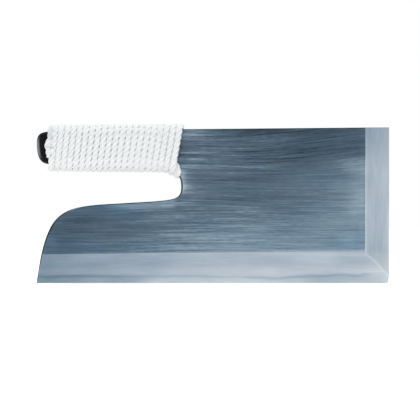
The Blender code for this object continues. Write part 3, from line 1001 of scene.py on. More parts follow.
@dataclass
class BladeShades:
    """How tone, tint, streaks and the arrises' burnish change over the bevelled side. All of them are read
    off the knife: places in millimetres, and amounts that add to the finishes' own middle tone. The face's
    tones hold painted reflection besides the iron's own tone, and the burnish holds painted highlights."""

    form: BladeForm
    face_clouds: Spots = (
        ((121, 97), (20, 7.5), 0.27), ((-128, 40), (20, 18), -0.08), ((45, 93), (34, 15), -0.11),
        ((43, 131.5), (40, 5), -0.45), ((-14, 130), (14, 4), 0.24), ((76, 111), (28, 14), -0.15),
        ((124, 75), (8, 18), 0.17), ((-115, 52), (24, 10), -0.14), ((2, 46), (48, 4), -0.07),
        ((25, 80), (22, 5), 0.07), ((-42, 34.5), (42, 5), 0.10), ((14, 40.5), (18, 6), 0.10),
        ((116, 36), (9, 5.5), 0.14), ((-36, 52.5), (32, 4), 0.11), ((-138, 35), (6, 4), 0.15),
        ((118, 61), (8, 5), 0.08), ((112, 93), (14, 4), -0.08), ((80, 70), (24, 4), -0.06),
        ((110, 84), (14, 5), 0.10), ((-26, 69), (14, 5), 0.12), ((-105, 33), (40, 8), 0.04),
        ((0, 58), (16, 3.5), -0.08), ((-22, 46), (16, 3), -0.06), ((20, 121), (34, 11), -0.10),
        ((38, 107), (20, 7), -0.10), ((-16, 105), (10, 5), 0.06),
    )  # fmt: skip
    blue_clouds: Spots = (
        ((-95, 31), (52, 7), 0.27), ((112, 33), (20, 7), 0.40), ((-38, 67), (14, 5), 0.20),
        ((75, 42), (35, 12), 0.24), ((75, 90), (60, 20), 0.12), ((-75, 62), (18, 5), 0.30),
        ((-21, 91), (7, 8), 0.25),
    )  # fmt: skip
    bevel_clouds: Spots = (
        ((-74, 20), (44, 16), 0.13), ((-146, 11), (9, 9), -0.12), ((128, 18), (14, 4), -0.07),
    )  # fmt: skip
    # A paler patch at the front lower corner.
    pale_corner: Spots = (
        ((141, 6), (12, 9), 0.32), ((150, 5), (5, 12), 0.25), ((148, 32), (9, 22), 0.22),
    )  # fmt: skip
    streak_knots: Knots = ((-150, 0.62), (-90, 0.70), (-20, 1.0), (30, 0.95), (90, 0.58), (150, 0.52))
    front_knots: Knots = ((24, -0.10), (42, -0.05), (70, 0.04), (95, 0.01), (132, -0.17))
    bevel_knots: Knots = ((-150, -0.51), (-95, -0.43), (0, -0.07), (100, -0.04), (150, -0.04))
    # Painted light on the rim ground with the face, against the cord's shade that it mirrors.
    rim_lift: float = 0.35
    toned_end: float = 1.0
    flat_streak: float = 0.7
    ground_shelf: tuple[float, float, float] = (-112.0, -31.0, 76.0)
    steel_knots: Knots = (
        (-150, -0.42), (-95, -0.37), (-40, 0.13), (20, 0.26), (62, 0.16), (92, -0.03), (150, -0.06),
    )  # fmt: skip

    def face_tone(self, x: Array, z: Array) -> Array:
        """How pale the ground face is: darker at the heel and under the spine, and paler low on the right,
        along the top under the handle, over the bevel and at the neck, with clouds between them. These broad
        changes are painted reflection over the iron's own uneven tone, and the patch at the neck is a painted
        highlight.

        Args:
            x: places along the knife.
            z: heights.

        Returns:
            The tone at each place.
        """
        tone = 0.30 * smoothstep(x, -80, 10) * smoothstep(z, 78, 36) - 0.11
        tone += 0.20 * smoothstep(x, 40, 110) * bell(z, 76, 25)
        tone -= 0.14 * smoothstep(x, 35, 105) * smoothstep(z, 100, 116)
        tone += 0.06 * smoothstep(x, 40, 10) * smoothstep(z, 95, 115)
        tone += 0.23 * smoothstep(x, 62, 45) * bell(z, 98.6, 2.0)
        # Painted highlight at the neck, brightest along its edge.
        off_neck = np.maximum(x + 25.3, 0)
        strong = eased_path(z, ((78.6, 0), (79.8, 1), (82.8, 1), (85, 0)))
        weak = eased_path(z, ((73, 0), (79, 0.6), (84, 1), (95, 1), (98, 0)))
        tone += 0.38 * strong * np.exp(-off_neck / 6)
        tone += weak * (0.34 * np.exp(-off_neck / 7) + 0.14 * np.exp(-off_neck / 1.2))
        below = np.maximum(self.form.outline.shelf(x) - z, 0)
        along = smoothstep(x, -102, -62) * smoothstep(x, -28, -38)
        tone += along * (0.22 * np.exp(-below / 4.5) + 0.21 * smoothstep(below, 9, 5.5))
        tone += 0.17 * smoothstep(x, -118, -104) * smoothstep(x, -66, -82) * np.exp(-below / 2.2)
        over = np.maximum(z - self.form.stoned_line(x), 0)
        tone += 0.34 * smoothstep(x, -70, 90) * np.exp(-over / 1.5)
        tone += (0.14 + 0.14 * bell(x, -62, 28)) * smoothstep(x, 0, -35) * np.exp(-over / 4)
        off_arris = self.form.arris_x - x
        tone += 0.10 * bell(off_arris, 0.6, 0.8) + 0.06 * bell(off_arris, 3.4, 1.3)
        return tone + spots(x, z, self.face_clouds)

    def face_cool(self, x: Array, z: Array) -> Array:
        """How blue the ground face is: low at the heel and low on the right, under the handle, and at the
        neck, where heat from the wheel has tinted it.

        Args:
            x: places along the knife.
            z: heights.

        Returns:
            The blue at each place.
        """
        right = smoothstep(x, -70, 40)
        low = 0.06 + 0.22 * smoothstep(z, 85, 45) * right + 0.18 * smoothstep(z, 75, 60) * (1 - right)
        return low + spots(x, z, self.blue_clouds)

    def face_streak(self, x: Array, z: Array) -> Array:
        """How strong the wheel's streaks are: most by the neck and the spine, least low on the right."""
        return eased_path(x, self.streak_knots) * (1 + 0.35 * smoothstep(z, 92, 106))

    def front_tone(self, x: Array, z: Array) -> Array:
        """How pale the front bevel is: duller at the top and in a cloud low down, and paler in a narrow
        strip along the front end.

        Args:
            x: places along the knife.
            z: heights.

        Returns:
            The tone at each place.
        """
        tone = eased_path(z, self.front_knots) + spots(x, z, (((142, 31), (5, 8), -0.05),))
        tone -= 0.13 * bell(x, 133, 2.5) * smoothstep(z, 70, 90)
        tone += 0.05 * bell(x, 147.2, 1.0) * smoothstep(z, 110, 85)
        tone += 0.05 * smoothstep(x, 139, 145) * smoothstep(z, 98, 112)
        return tone + 0.22 * smoothstep(x, 147.8, 149.2) * smoothstep(z, 78, 50)

    def bevel_tone(self, x: Array, z: Array) -> Array:
        """How pale the edge bevel's iron is: paler to the right, and towards the joint.

        Args:
            x: places along the knife.
            z: heights.

        Returns:
            The tone at each place.
        """
        tone = 0.04 + eased_path(x, self.bevel_knots) + 0.05 * bell(x, 46, 38)
        tone += 0.20 * smoothstep(z, 17, 9) + 0.05 * smoothstep(x, 0, 120) * smoothstep(z, 21, 24)
        tone += 0.25 * smoothstep(x, 127, 132) * np.clip(1 - (z - self.form.joint_height(x)) / 1.2, 0, 1)
        tone -= 0.055 * smoothstep(x, 70, 110) + 0.05 * smoothstep(x, -110, -130)
        return tone + spots(x, z, self.bevel_clouds)

    def steel_tone(self, x: Array, z: Array) -> Array:
        """How pale the hard steel is: bright in the middle of the blade, with a dark line along the joint,
        and paler at the edge and at the worn corner.

        Args:
            x: places along the knife.
            z: heights.

        Returns:
            The tone at each place.
        """
        line = 0.20 * bell(self.form.joint_height(x) - z, 1.0, 0.8) * smoothstep(x, 137, 132)
        line += 0.16 * bell(z, 5.4, 0.6) * smoothstep(x, 116, 119) * smoothstep(x, 134, 130)
        tone = eased_path(x, self.steel_knots) + 0.14 * smoothstep(z, 6, 0) - line
        tone += 0.09 * bell(x, -92, 26) - 0.08 * bell(x, 66, 9) + 0.05 * smoothstep(x, 78, 100)
        return tone + spots(x, z, (((149, 4), (4, 6), 0.10),))

    def tone(self, x: Array, z: Array) -> Array:
        """The tone of whichever finish a place on the bevelled side has.

        Args:
            x: places along the knife.
            z: heights.

        Returns:
            The tone at each place.
        """
        joint, stoned = self.form.joint_height(x), self.form.stoned_line(x)
        low = np.where(z < joint + 1e-3, self.steel_tone(x, z), self.bevel_tone(x, z))
        low = np.where(z <= stoned + 1e-3, low, self.face_tone(x, z))
        return np.where(self.form.on_front(x, z), self.front_tone(x, z), low)

    def arris(self, x: Array, z: Array) -> Array:
        """How much burnish and painted highlight a place has: in a line on the arrises, most on the mitre and
        low on the front bevel's arris, and a paler patch broadly at the front lower corner.

        Args:
            x: places along the knife.
            z: heights.

        Returns:
            The polish at each place.
        """
        form, far = self.form, 9.0
        run = x - form.arris_x
        off_mitre = np.where(run > 0, np.abs(z - (form.bevel_height - form.mitre_drop(run))), far)
        off_edge = np.where(run < 0, np.abs(z - form.bevel_height), far)
        off_front = np.where(z > form.bevel_height, np.abs(run), far)
        on_edge = 0.25 * smoothstep(x, -60, 120) * np.clip(1 - off_edge / 0.7, 0, 1)
        on_mitre = 0.52 * np.clip(1 - off_mitre / (1.3 + 0.06 * np.clip(run, 0, 20)), 0, 1)
        on_front = (0.05 + 0.50 * smoothstep(z, 85, 55)) * np.clip(1.2 - off_front / 0.7, 0, 1)
        broad = 0.10 * smoothstep(x, 40, 110) * (z < 26) + spots(x, z, self.pale_corner)
        return np.maximum(np.maximum(on_edge, on_mitre), on_front) + broad

    def rim_wear(self, x: Array, z: Array) -> Array:
        """How worn the eased rim is: along the blade's top under the handle, and on the spine's rear."""
        shelf = smoothstep(x, -128, -112) * smoothstep(x, -28, -33) * (z < 80)
        return shelf + 0.9 * smoothstep(x, 60, 0) * (z > 125)

    def ground_rim(self, x: Array, z: Array) -> Array:
        """Whether the rim was ground with the face: along the blade's top under the handle."""
        start, end, height = self.ground_shelf
        return (x > start) & (x < end) & (z < height)

    def grain(self, x: Array, z: Array, stoned: Array, upright: Array) -> Array:
        """Places along and across the grain. On the face, the grain waves a little and rises to the right
        near the spine. The stoned bevels' is straight, and upright on the front one.

        Args:
            x: places along the blade, three for each face.
            z: heights.
            stoned: whether each face is stoned.
            upright: whether each face lies on the front bevel.

        Returns:
            Pairs along and across the grain, in millimetres.
        """
        lift = 9 * smoothstep(x, 20, 165) * smoothstep(z, 78, 118) + np.sin(x / 42 + z / 30)
        ground, level, standing = (np.stack(pair, axis=-1) for pair in ((x, z - lift), (x, z), (z, x)))
        straight = np.where(upright[:, None, None], standing, level)
        return np.where(stoned[:, None, None], straight, ground)

    def values(self, points: Array, first_rim: int) -> dict[str, Array]:
        """The named values of a piece's points: those of the bevelled side, plain ones on the flat side,
        and on the rim only where it was ground or forms the front end.

        Args:
            points: places.
            first_rim: number of the first point that lies on the rim alone.

        Returns:
            One array for each name.
        """
        x, z = points[:, 0], points[:, 2]
        number = np.arange(len(points))
        bevelled, rim = number < first_rim // 2, number >= first_rim
        ground = rim & self.ground_rim(x, z)
        toned = bevelled | ground | (rim & (x > self.form.outline.front_x - self.toned_end))
        return {
            # The ground rim under the handle gets painted light on top of its tone.
            TONE: np.where(toned, self.tone(x, z), 0.0) + self.rim_lift * ground,
            ARRIS: np.where(bevelled, self.arris(x, z), 0.0),
            COOL: np.where(bevelled, self.face_cool(x, z), 0.0),
            STREAK: np.where(bevelled, self.face_streak(x, z), self.flat_streak),
            WEAR: self.rim_wear(x, z),
        }


@dataclass
class Blade(BladeForm):
    """The blade with its tang and the hard steel plate behind its edge.

    Each piece is two sheets over one grid of places, joined by an eased rim. A row of the grid runs along
    the blade, from the outline on the left to the front end, and the grid's lines follow the arrises where
    the ground planes meet.
    """

    joint_nominal: float = 9.0
    stoned_nominal: float = 26.0
    stoned_fade: float = 40.0
    ease: float = 0.8
    crisp_ease: float = 0.3
    round_off: Spots = (((-27, 84), (9, 9), 0.65), ((-136, 46), (14, 20), 0.5))
    corner_wear: float = 1.4
    corner_power: float = 1.4
    corner_height: float = 7.5
    corner_length: float = 10.0
    columns: int = 96
    stretch_end: float = 126.0
    support: float = 0.25
    arris_ease: float = 0.6
    last_columns: Pair = (127.5, 129.0)
    mitre_rows: int = 19
    heel_inset: float = 3.0
    row_step: float = 2.4
    row_gap: float = 0.045
    bent_rows: float = 103.0
    settling: int = 24
    plate_steps: int = 16
    rim_rings: int = 5
    rim_share: float = 0.5
    rim_depth: float = 0.8
    rim_depth_limit: float = 0.45
    tang_corner: Pair = (-60.0, 98.5)
    stoned_rim: Pair = (0.6, 1.0)
    crisp_reach: float = 1.0

    def stoned_shift(self, row: Array, x: Array) -> Array:
        """How far a row moves so that the nominal one follows the stoned line, and the next ones less."""
        knots = (self.bevel_height + self.support, self.stoned_nominal, self.stoned_fade)
        return np.interp(row, knots, (0, 1, 0)) * (self.stoned_line(x) - self.stoned_nominal)

    def spine_shift(self, row: Array, x: Array) -> Array:
        """How far a row lies under its number: by the spine's drop at the top, and not at all low down."""
        drop = self.outline.spine - self.outline.top(x)
        return smoothstep(row, self.bent_rows, self.outline.spine) * drop

    def row_of(self, x: Array, z: Array) -> Array:
        """The row that passes through a place: its height plus the row's shift there, found by putting
        the result back in until it settles.

        Args:
            x: places along the knife.
            z: heights.

        Returns:
            The rows' numbers.
        """
        row = z.astype(float)
        for _ in range(self.settling):
            row = z + self.spine_shift(row, x)
        return row

    def place(self, heights: Array) -> Array:
        """X of the whole grid, one line for each row. Columns are stretched from the outline to one place,
        and fixed from there to the front end: past the arris, each stands where the mitre crosses a row.

        Args:
            heights: the rows' heights at the outline.

        Returns:
            The grid's X.
        """
        side = self.outline.left_side()
        keys = np.maximum.accumulate(self.row_of(side[:, 0], side[:, 1]))
        left = np.interp(heights, keys, side[:, 0])[:, None]
        share = np.linspace(0, 1, self.columns, endpoint=False)
        last = self.mitre_drop(self.front_bevel)
        drops = np.concatenate([[0, self.support], np.arange(1, self.mitre_rows), [last]])
        runs = (drops / self.mitre_scale) ** (1 / self.mitre_power)
        at_arris = self.arris_x - np.array([self.arris_ease, self.support])
        fixed = np.concatenate([[self.stretch_end, *self.last_columns], at_arris, self.arris_x + runs])
        stretch = left + (self.stretch_end - left) * share
        return np.concatenate([stretch, np.tile(fixed, (len(left), 1))], axis=1)

    def outline_rows(self) -> Array:
        """Rows above the arris: one through each point of the outline that is further than the row gap
        from the last, and more between them, so that none is further than the row step from the next.

        Returns:
            The rows' numbers, upwards.
        """
        side, spine = self.outline.left_side(), self.outline.spine
        keys = np.unique(np.round(self.row_of(side[:, 0], side[:, 1]), 2))
        starts = (self.bevel_height, self.stoned_nominal)
        lines = [start + step for start in starts for step in (0, self.support)]
        own = [*lines, *(self.plate_height + step for step in self.plate_seam), spine]
        keys = np.unique(np.concatenate([keys[keys > self.bevel_height + 2 * self.support], own]))
        keys = keys[np.append(True, np.diff(keys) > self.row_gap)]
        counts = np.ceil(np.diff(keys) / self.row_step).astype(int)
        spread = [np.linspace(a, b, n, endpoint=False) for a, b, n in zip(keys, keys[1:], counts)]
        return np.concatenate([*spread, [spine]])

    def worn(self, x: Array, z: Array) -> Array:
        """X with the front lower corner worn back, more towards the cutting edge and the front end."""
        wear = self.corner_wear * np.clip(1 - z / self.corner_height, 0, 1) ** self.corner_power
        return x - wear * np.clip(1 - (self.outline.front_x - x) / self.corner_length, 0, 1)

    def body_grid(self) -> tuple[Array, Array]:
        """X and Z of the iron body's grid, from the joint's line up to the spine.

        Returns:
            Both, by row and column.
        """
        heel = np.full(1, self.outline.heel_x)
        below = np.append(np.arange(self.joint_nominal, self.bevel_height), self.bevel_height - self.support)
        above = self.outline_rows()
        share = (below - self.joint_nominal) / (self.bevel_height - self.joint_nominal)
        at_heel = self.joint_height(heel)
        low_heights = at_heel + (self.bevel_height - at_heel) * share
        high_heights = above + self.stoned_shift(above, heel + self.heel_inset)
        x = self.place(np.concatenate([low_heights, high_heights]))
        low_x, high_x, rows = x[: len(below)], x[len(below) :], above[:, None]
        line = self.joint_height(low_x)
        low_z = line + (self.bevel_height - line) * share[:, None]
        high_z = rows - self.spine_shift(rows, high_x) + self.stoned_shift(rows, high_x)
        return x, np.concatenate([low_z, high_z])

    def plate_rows(self, line: Array) -> Array:
        """Heights of the plate's rows: at even steps up to the joint's line, and from there to its top.

        Args:
            line: heights of the joint's line.

        Returns:
            Heights by row, for each height of the line.
        """
        rows = np.arange(self.joint_nominal + self.plate_steps + 1)[:, None]
        low = line * np.clip(rows / self.joint_nominal, 0, 1)
        return low + (self.plate_height - low) * np.clip((rows - self.joint_nominal) / self.plate_steps, 0, 1)

    def plate_grid(self) -> tuple[Array, Array]:
        """X and Z of the hard steel plate's grid, from the cutting edge up to its top.

        Returns:
            Both, by row and column.
        """
        x = self.place(self.plate_rows(self.joint_height(np.full(1, self.outline.heel_x)))[:, 0])
        z = self.plate_rows(self.joint_height(x))
        return self.worn(x, z), z

    def rim_ease(self, x: Array, z: Array) -> Array:
        """How far the rim is eased: little on the spine and the front end, and most at the neck and on the
        heel's curve.

        Args:
            x: places along the knife.
            z: heights.

        Returns:
            The ease at each place.
        """
        at_end, at_spine = self.outline.front_x - self.crisp_reach, self.outline.top(x) - self.crisp_reach
        round_off = spots(x, z, self.round_off)
        return np.where((x > at_end) | (z > at_spine), self.crisp_ease, self.ease + round_off)

    def build_plate(
        self, name: str, grid: tuple[Array, Array], surfaces: tuple, finishes: list[bpy.types.Material]
    ) -> bpy.types.Object:
        """Closes two sheets over one grid with an eased rim: each of its rings steps out from a sheet by
        the ease times one minus the sine of an angle, and in depth by the cosine. Along the lowest row, the
        rim is sharp.

        Args:
            name: the piece's name.
            grid: X and Z of the grid.
            surfaces: functions that give Y of the bevelled side's sheet and of the flat side's.
            finishes: materials of the regions.

        Returns:
            The piece.
        """
        index = np.arange(grid[0].size).reshape(grid[0].shape)
        loop = np.concatenate([index[0], index[1:, -1], index[-1, -2::-1], index[-2:0:-1, 0]])
        sheet = np.stack(grid, axis=-1).reshape(-1, 2)
        edge = sheet[loop]
        run = np.roll(edge, -1, axis=0) - np.roll(edge, 1, axis=0)
        inward = np.stack([-run[:, 1], run[:, 0]], 1) / np.maximum(np.hypot(*run.T), 1e-9)[:, None]
        front_y, back_y = surfaces
        wall = back_y(*edge.T) - front_y(*edge.T)
        sharp = np.arange(len(loop)) < index.shape[1]
        ease = np.where(sharp, 0.0, np.minimum(self.rim_ease(*edge.T), wall * self.rim_share))[:, None]
        depth = np.minimum(ease[:, 0] * self.rim_depth, wall * self.rim_depth_limit)
        sheet[loop] += inward * ease
        front, back = front_y(*sheet.T), back_y(*sheet.T)
        angles = np.linspace(0, np.pi / 2, self.rim_rings + 1)[1:, None]
        ring = edge + inward * ease * (1 - np.sin(angles))[..., None]
        steps = depth * (1 - np.cos(angles))
        ring_y = np.concatenate([front[loop] + steps, (back[loop] - steps)[::-1]])
        ring = np.concatenate([ring, ring[::-1]])
        layers = ((sheet, front), (sheet, back), (ring.reshape(-1, 2), ring_y.ravel()))
        points = np.concatenate([np.stack([flat[:, 0], y, flat[:, 1]], 1) for flat, y in layers])
        first_rim = 2 * index.size
        rings = first_rim + np.arange(ring_y.size).reshape(ring_y.shape)
        band = np.concatenate([loop[None], rings, loop[None] + index.size])
        front_faces = grid_triangles(index)
        rim_faces = grid_triangles(np.concatenate([band, band[:, :1]], axis=1))[:, ::-1]
        faces = np.concatenate([front_faces, front_faces[:, ::-1] + index.size, rim_faces])
        counts = [len(front_faces), len(front_faces), len(rim_faces)]
        sheets = np.repeat([part.value for part in Sheet], counts)
        return self.finish_plate(name, points, faces, sheets, first_rim, finishes)

    def finish_plate(
        self, name: str, points: Array, faces: Array, sheets: Array, first_rim: int, finishes: list
    ) -> bpy.types.Object:
        """Gives each face of a plate its region, and each corner its grain.

        Args:
            name: the piece's name.
            points: places.
            faces: triangles.
            sheets: for each face, the value of its sheet.
            first_rim: number of the first point that lies on the rim alone.
            finishes: materials of the regions.

        Returns:
            The piece.
        """
        shades = BladeShades(self)
        corners = points[faces]
        x, _, z = corners.mean(axis=1).T
        ahead = x > self.arris_x - self.arris_ease
        stoned = (sheets == Sheet.BEVELLED.value) & ((z < self.stoned_line(x)) | ahead)
        at_end, at_edge = x > self.outline.front_x - self.stoned_rim[0], z < self.stoned_rim[1]
        stoned |= (sheets == Sheet.RIM.value) & (at_end | at_edge)
        slots = np.where(stoned, Region.BEVEL.value, Region.FACE.value)
        slots[(sheets == Sheet.RIM.value) & ~stoned & ~shades.ground_rim(x, z)] = Region.RIM.value
        slots[sheets == Sheet.FLAT.value] = Region.FLAT.value
        slots[(x < self.tang_corner[0]) & (z > self.tang_corner[1])] = Region.LACQUERED.value
        straight = slots == Region.BEVEL.value
        grain = shades.grain(corners[..., 0], corners[..., 2], straight, self.on_front(x, z))
        return make_piece(name, points, faces, finishes, slots, grain, shades.values(points, first_rim))

    def build(self) -> None:
        """Builds the iron body and the hard steel plate."""
        lacquer, skin, ground = BlackLacquer().build(), ForgedSkin().build(), GroundIron().build()
        where = (*self.hollow_line, self.hollow_half_height)
        iron = StonedMetal("soft_iron_stoned", "#788A97", "#A6B2BC", "#D0D4D8", "#86869A")
        iron_flat = HollowedFlat(
            "soft_iron_flat",
            GroundIron(dark="#3C4954", middle="#66767F", light="#A5B2BA"),
            StonedMetal("", "#74838F", "#94A1AB", "#BAC4CB", "#8A8A98"),
            *where,
        )
        steel = StonedMetal("hard_steel_stoned", "#738795", "#A2B1BC", "#D2D8DC", "#828C8C")
        steel_flat = HollowedFlat(
            "hard_steel_flat",
            GroundIron(dark="#4C5A64", middle="#788891", light="#B6C1C8"),
            StonedMetal("", "#7E8F9A", "#A3B0B9", "#C8D1D7", "#868E90"),
            *where,
        )
        finishes = [ground, iron.build(), skin, lacquer, iron_flat.build()]
        surfaces = (self.front_y, self.body_back)
        body = self.build_plate("blade_soft_iron", self.body_grid(), surfaces, finishes)
        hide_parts("blade_body")
        finishes = [ground, steel.build(), skin, lacquer, steel_flat.build()]
        surfaces = (self.plate_front, self.back_y)
        plate = self.build_plate("blade_hard_steel", self.plate_grid(), surfaces, finishes)
        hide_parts("edge_steel")


# Handle


@dataclass
class HandleScales:
    """The two lacquered scales on the tang. Each is a stack of rings about the handle's middle line."""

    outline: KnifeOutline = field(default_factory=KnifeOutline)
    half_core: float = 6.5
    edge_radius: float = 4.0
    inner_gap: float = 0.05
    inner_ease: float = 0.25
    crown: float = 0.25
    crown_shares: tuple[float, ...] = (0.35, 0.7, 1.0)
    crown_step: float = 2.6
    end_setback: float = 1.5
    end_angle: float = float(np.radians(46.0))
    middle_line: tuple[Pair, Pair] = ((-137.0, 114.2), (-47.0, 115.0))
    step: float = 1.1
    # Where the painted highlight lies on the butt's rounded edge, and how strong it is.
    highlight_levels: Knots = ((0.1, 0), (0.75, 1), (0.85, 1), (0.97, 0))
    highlight_heights: Knots = ((104, 0), (112, 1), (118.5, 1), (125.5, 0))
    round_steps: int = 8
    highlight_to: float = -142.0
    edge_highlight: float = 0.85

    def ends(self) -> tuple[Pair, Pair]:
        """The two ends of the slanting neck end, on the core's top and on the neck's upper fillet.

        Returns:
            The upper end and the lower one.
        """
        low = arc(self.outline.fillet_centre, self.outline.upper_fillet, self.end_angle, self.end_angle, 0)[0]
        top_x = self.outline.neck_x + self.end_setback
        return (top_x, float(self.outline.top(np.array(top_x)))), tuple(low)

    def rim(self) -> Array:
        """The scales' outline, at even steps.

        Returns:
            Its points, without the first one again.
        """
        top, low = self.ends()
        fillet = arc(self.outline.fillet_centre, self.outline.upper_fillet, self.end_angle, np.pi / 2, 12)
        shoulder = (self.outline.shoulder_x, self.outline.shoulder_top)
        return resampled(np.concatenate([fillet, self.outline.butt(), [shoulder, top, low]]), self.step)[:-1]

    def highlight_share(self, points: Array) -> Array:
        """How much painted highlight the lacquer has: on the butt's rounded edge, most near its inner side,
        and from a little over its low corner to under its top one.

        Args:
            points: places on a scale.

        Returns:
            One value for each place.
        """
        level = (np.abs(points[:, 1]) - self.half_core + self.crown + self.edge_radius) / self.edge_radius
        band = eased_path(level, self.highlight_levels)
        upright = eased_path(points[:, 2], self.highlight_heights)
        return self.edge_highlight * band * upright * (points[:, 0] < self.highlight_to)

    def build(self) -> None:
        """Builds both scales: a flat inner face, a wall, an edge rounded by a quarter circle, and an
        outer face that swells a little to its middle."""
        rim = self.rim()
        start, end = np.array(self.middle_line)
        way = end - start
        share = np.clip(((rim - start) @ way) / (way @ way), 0, 1)
        inward = unit(start + share[:, None] * way - rim)
        angle = np.linspace(0, np.pi / 2, self.round_steps + 1)
        crown = self.crown * np.array(self.crown_shares)
        inner, outer = self.outline.thickness / 2 + self.inner_gap, self.half_core - self.crown
        round_in, round_out = self.edge_radius * (1 - np.cos(angle)), self.edge_radius * (1 - np.sin(angle))
        flat_in = self.edge_radius + self.crown_step * np.arange(1, len(crown) + 1)
        insets = np.concatenate([[self.inner_ease, 0.0], round_in, flat_in])
        levels = np.concatenate([[inner, inner + self.inner_ease], outer - round_out, outer + crown])
        places = rim + inward * insets[:, None, None]
        finish = BlackLacquer("black_lacquer_scales").build()
        for side, node in ((Side.BEVELLED, "scale_front"), (Side.FLAT, "scale_back")):
            y = np.broadcast_to(side.value * levels[:, None], places.shape[:2])
            rings = np.stack([places[..., 0], y, places[..., 1]], axis=-1)
            points, faces = closed_stack(rings, rings[[0, -1]].mean(axis=1))
            if side is Side.BEVELLED:
                faces = faces[:, ::-1]
            # The painted highlight on the butt's rounded edge.
            edge_highlight = {ARRIS: self.highlight_share(points)}
            piece = make_piece("handle_" + node, points, faces, [finish], attributes=edge_highlight)
            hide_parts(node)


@dataclass
class CordCourse:
    """The middle line of the cord that is wound over the scales, one unbroken length.

    It goes down the front with the step to the next turn, and straight up the back. Each method that lays a
    stretch of it gives places, and the directions away from the core there.
    """

    core: HandleScales = field(default_factory=HandleScales)
    offset: float = 2.82
    turns: int = 21
    top_pitch: float = 5.275
    low_pitch: float = 5.10
    last_pitch: float = 4.4
    first_top: float = 0.3
    first_low: float = 8.5
    start_setback: float = 3.9
    start_lean: float = 1.3
    start_knee: Pair = (-2.8, 96.4)
    start_cap: Pair = (-6.2, 102.6)
    start_clearance: float = 1.3
    start_back_lean: float = 0.45
    ride: float = 0.8
    ride_reach: float = 11.0
    tail_line: Knots = (
        (103.0, -137.0), (106.5, -137.7), (110.2, -138.6), (112.9, -138.1), (115.0, -139.0), (117.3, -139.9),
        (119.3, -138.9), (121.2, -137.4), (123.0, -137.03), (133.5, -137.03),
    )  # fmt: skip
    tail_top: float = 133.4
    tail_length: float = 34.0
    tail_ease: float = 10.0
    tail_height: float = 107.8
    tail_bend: float = 3.4
    tail_lift: float = 0.3
    tail_depth: float = 3.0
    blade_ease: float = 0.6
    step: float = 0.55
    stiffness: float = 2.2
    slack: float = 7.0
    corner_steps: int = 8
    start_steps: int = 5
    face_steps: int = 13
    end_steps: int = 4

    def seat(self, x: Array, z: Array) -> Array:
        """Half thickness of what the cord lies on: the scales, the bare tang past their neck end, or,
        where it rolls off their rounded end, a circle about that end's edge.

        Args:
            x: places along the knife.
            z: heights.

        Returns:
            The half thickness at each place.
        """
        top, low = np.array(self.core.ends())
        slant_x, slant_z = unit(top - low)
        past_end = (x - low[0]) * slant_z - (z - low[1]) * slant_x
        swing = self.core.edge_radius + self.offset
        reach = np.clip(past_end + self.core.edge_radius, 0, swing)
        rolled = self.core.half_core - self.core.edge_radius + np.sqrt(swing**2 - reach**2) - self.offset
        return np.maximum(rolled, self.core.outline.thickness / 2)

    def edge_radius(self, half: Array) -> Array:
        """Radius under the cord, from the tang's eased edge to the scales' full rounding.

        Args:
            half: half thickness of what the cord lies on.

        Returns:
            The radius for each.
        """
        bare = self.core.outline.thickness / 2
        share = (half - bare) / (self.core.half_core - bare)
        return self.blade_ease + share * (self.core.edge_radius - self.blade_ease)

    def half_turns(
        self, low_x: Array, top_x: Array, side: Side, lean: float = 1.0, clearance: float | None = None
    ) -> tuple[Array, Array]:
        """Stretches from a crossing of the underside up one side of the core to a crossing of its top:
        round the lower edge, up the face, and round the upper edge.

        Args:
            low_x: X of the crossings of the underside.
            top_x: X of the crossings of the top.
            side: the side of the core.
            lean: power of the share by which X goes from one to the other.
            clearance: how far under the core the low crossings are, or none for the cord's offset.

        Returns:
            Places and outward directions, one line for each stretch.
        """
        low_x, top_x = np.atleast_1d(low_x)[:, None], np.atleast_1d(top_x)[:, None]
        corner = np.linspace(np.pi / 2, 0, self.corner_steps + 1)
        low_z = self.core.outline.low(low_x, self.offset if clearance is None else clearance)
        top_z = self.core.outline.top(top_x) + self.offset
        low_swing = self.edge_radius(self.seat(low_x, low_z)) + self.offset
        top_swing = self.edge_radius(self.seat(top_x, top_z)) + self.offset
        lower = low_z + low_swing * (1 - np.sin(corner))
        upper = (top_z - top_swing * (1 - np.sin(corner)))[:, ::-1]
        share = np.linspace(0, 1, 2 * self.corner_steps + 2)[1:-1]
        face = lower[:, -1:] + (upper[:, :1] - lower[:, -1:]) * share
        z = np.concatenate([lower, face, upper], axis=1)
        out = np.concatenate([np.cos(corner), np.ones(len(share)), np.cos(corner)[::-1]])
        lift = np.concatenate([-np.sin(corner), np.zeros(len(share)), np.sin(corner)[::-1]])
        steps = np.hypot(np.diff(z, axis=1), np.diff(out) * (self.core.edge_radius + self.offset))
        along = np.concatenate([np.zeros((len(z), 1)), np.cumsum(steps, axis=1)], axis=1)
        x = low_x + (top_x - low_x) * (along / along[:, -1:]) ** lean
        half = self.seat(x, z)
        radius = self.edge_radius(half)
        y = half - radius + (radius + self.offset) * out
        away = np.stack(np.broadcast_arrays(0.0, side.value * out, lift, z)[:3], axis=-1)
        return np.stack([x, side.value * y, z], axis=-1), away

    def start(self, low_x: float) -> tuple[Array, Array]:
        """The first end: from its cap beside the scale, straight down the tang, to the underside.

        Args:
            low_x: X of the crossing of the underside.

        Returns:
            Places and outward directions.
        """
        outline, half = self.core.outline, self.core.outline.thickness / 2
        ends = (self.start_cap, self.start_knee)
        cap, knee = (np.array([outline.neck_x + x, -half - self.offset, z]) for x, z in ends)
        straight = cap + (knee - cap) * np.linspace(0, 1, self.start_steps + 1)[:, None]
        corner = np.linspace(0, np.pi / 2, self.corner_steps + 1)
        swing = self.blade_ease + self.offset
        x = low_x + self.start_lean * (1 - np.sin(corner))
        y = self.blade_ease - half - swing * np.cos(corner)
        z = outline.low(np.array(low_x), self.start_clearance) + swing * (1 - np.sin(corner))
        away = np.stack([0 * corner, -np.cos(corner), -np.sin(corner)], 1)
        places = np.concatenate([straight, np.stack([x, y, z], 1)])
        return places, np.concatenate([np.tile([0.0, -1.0, 0.0], (len(straight), 1)), away])

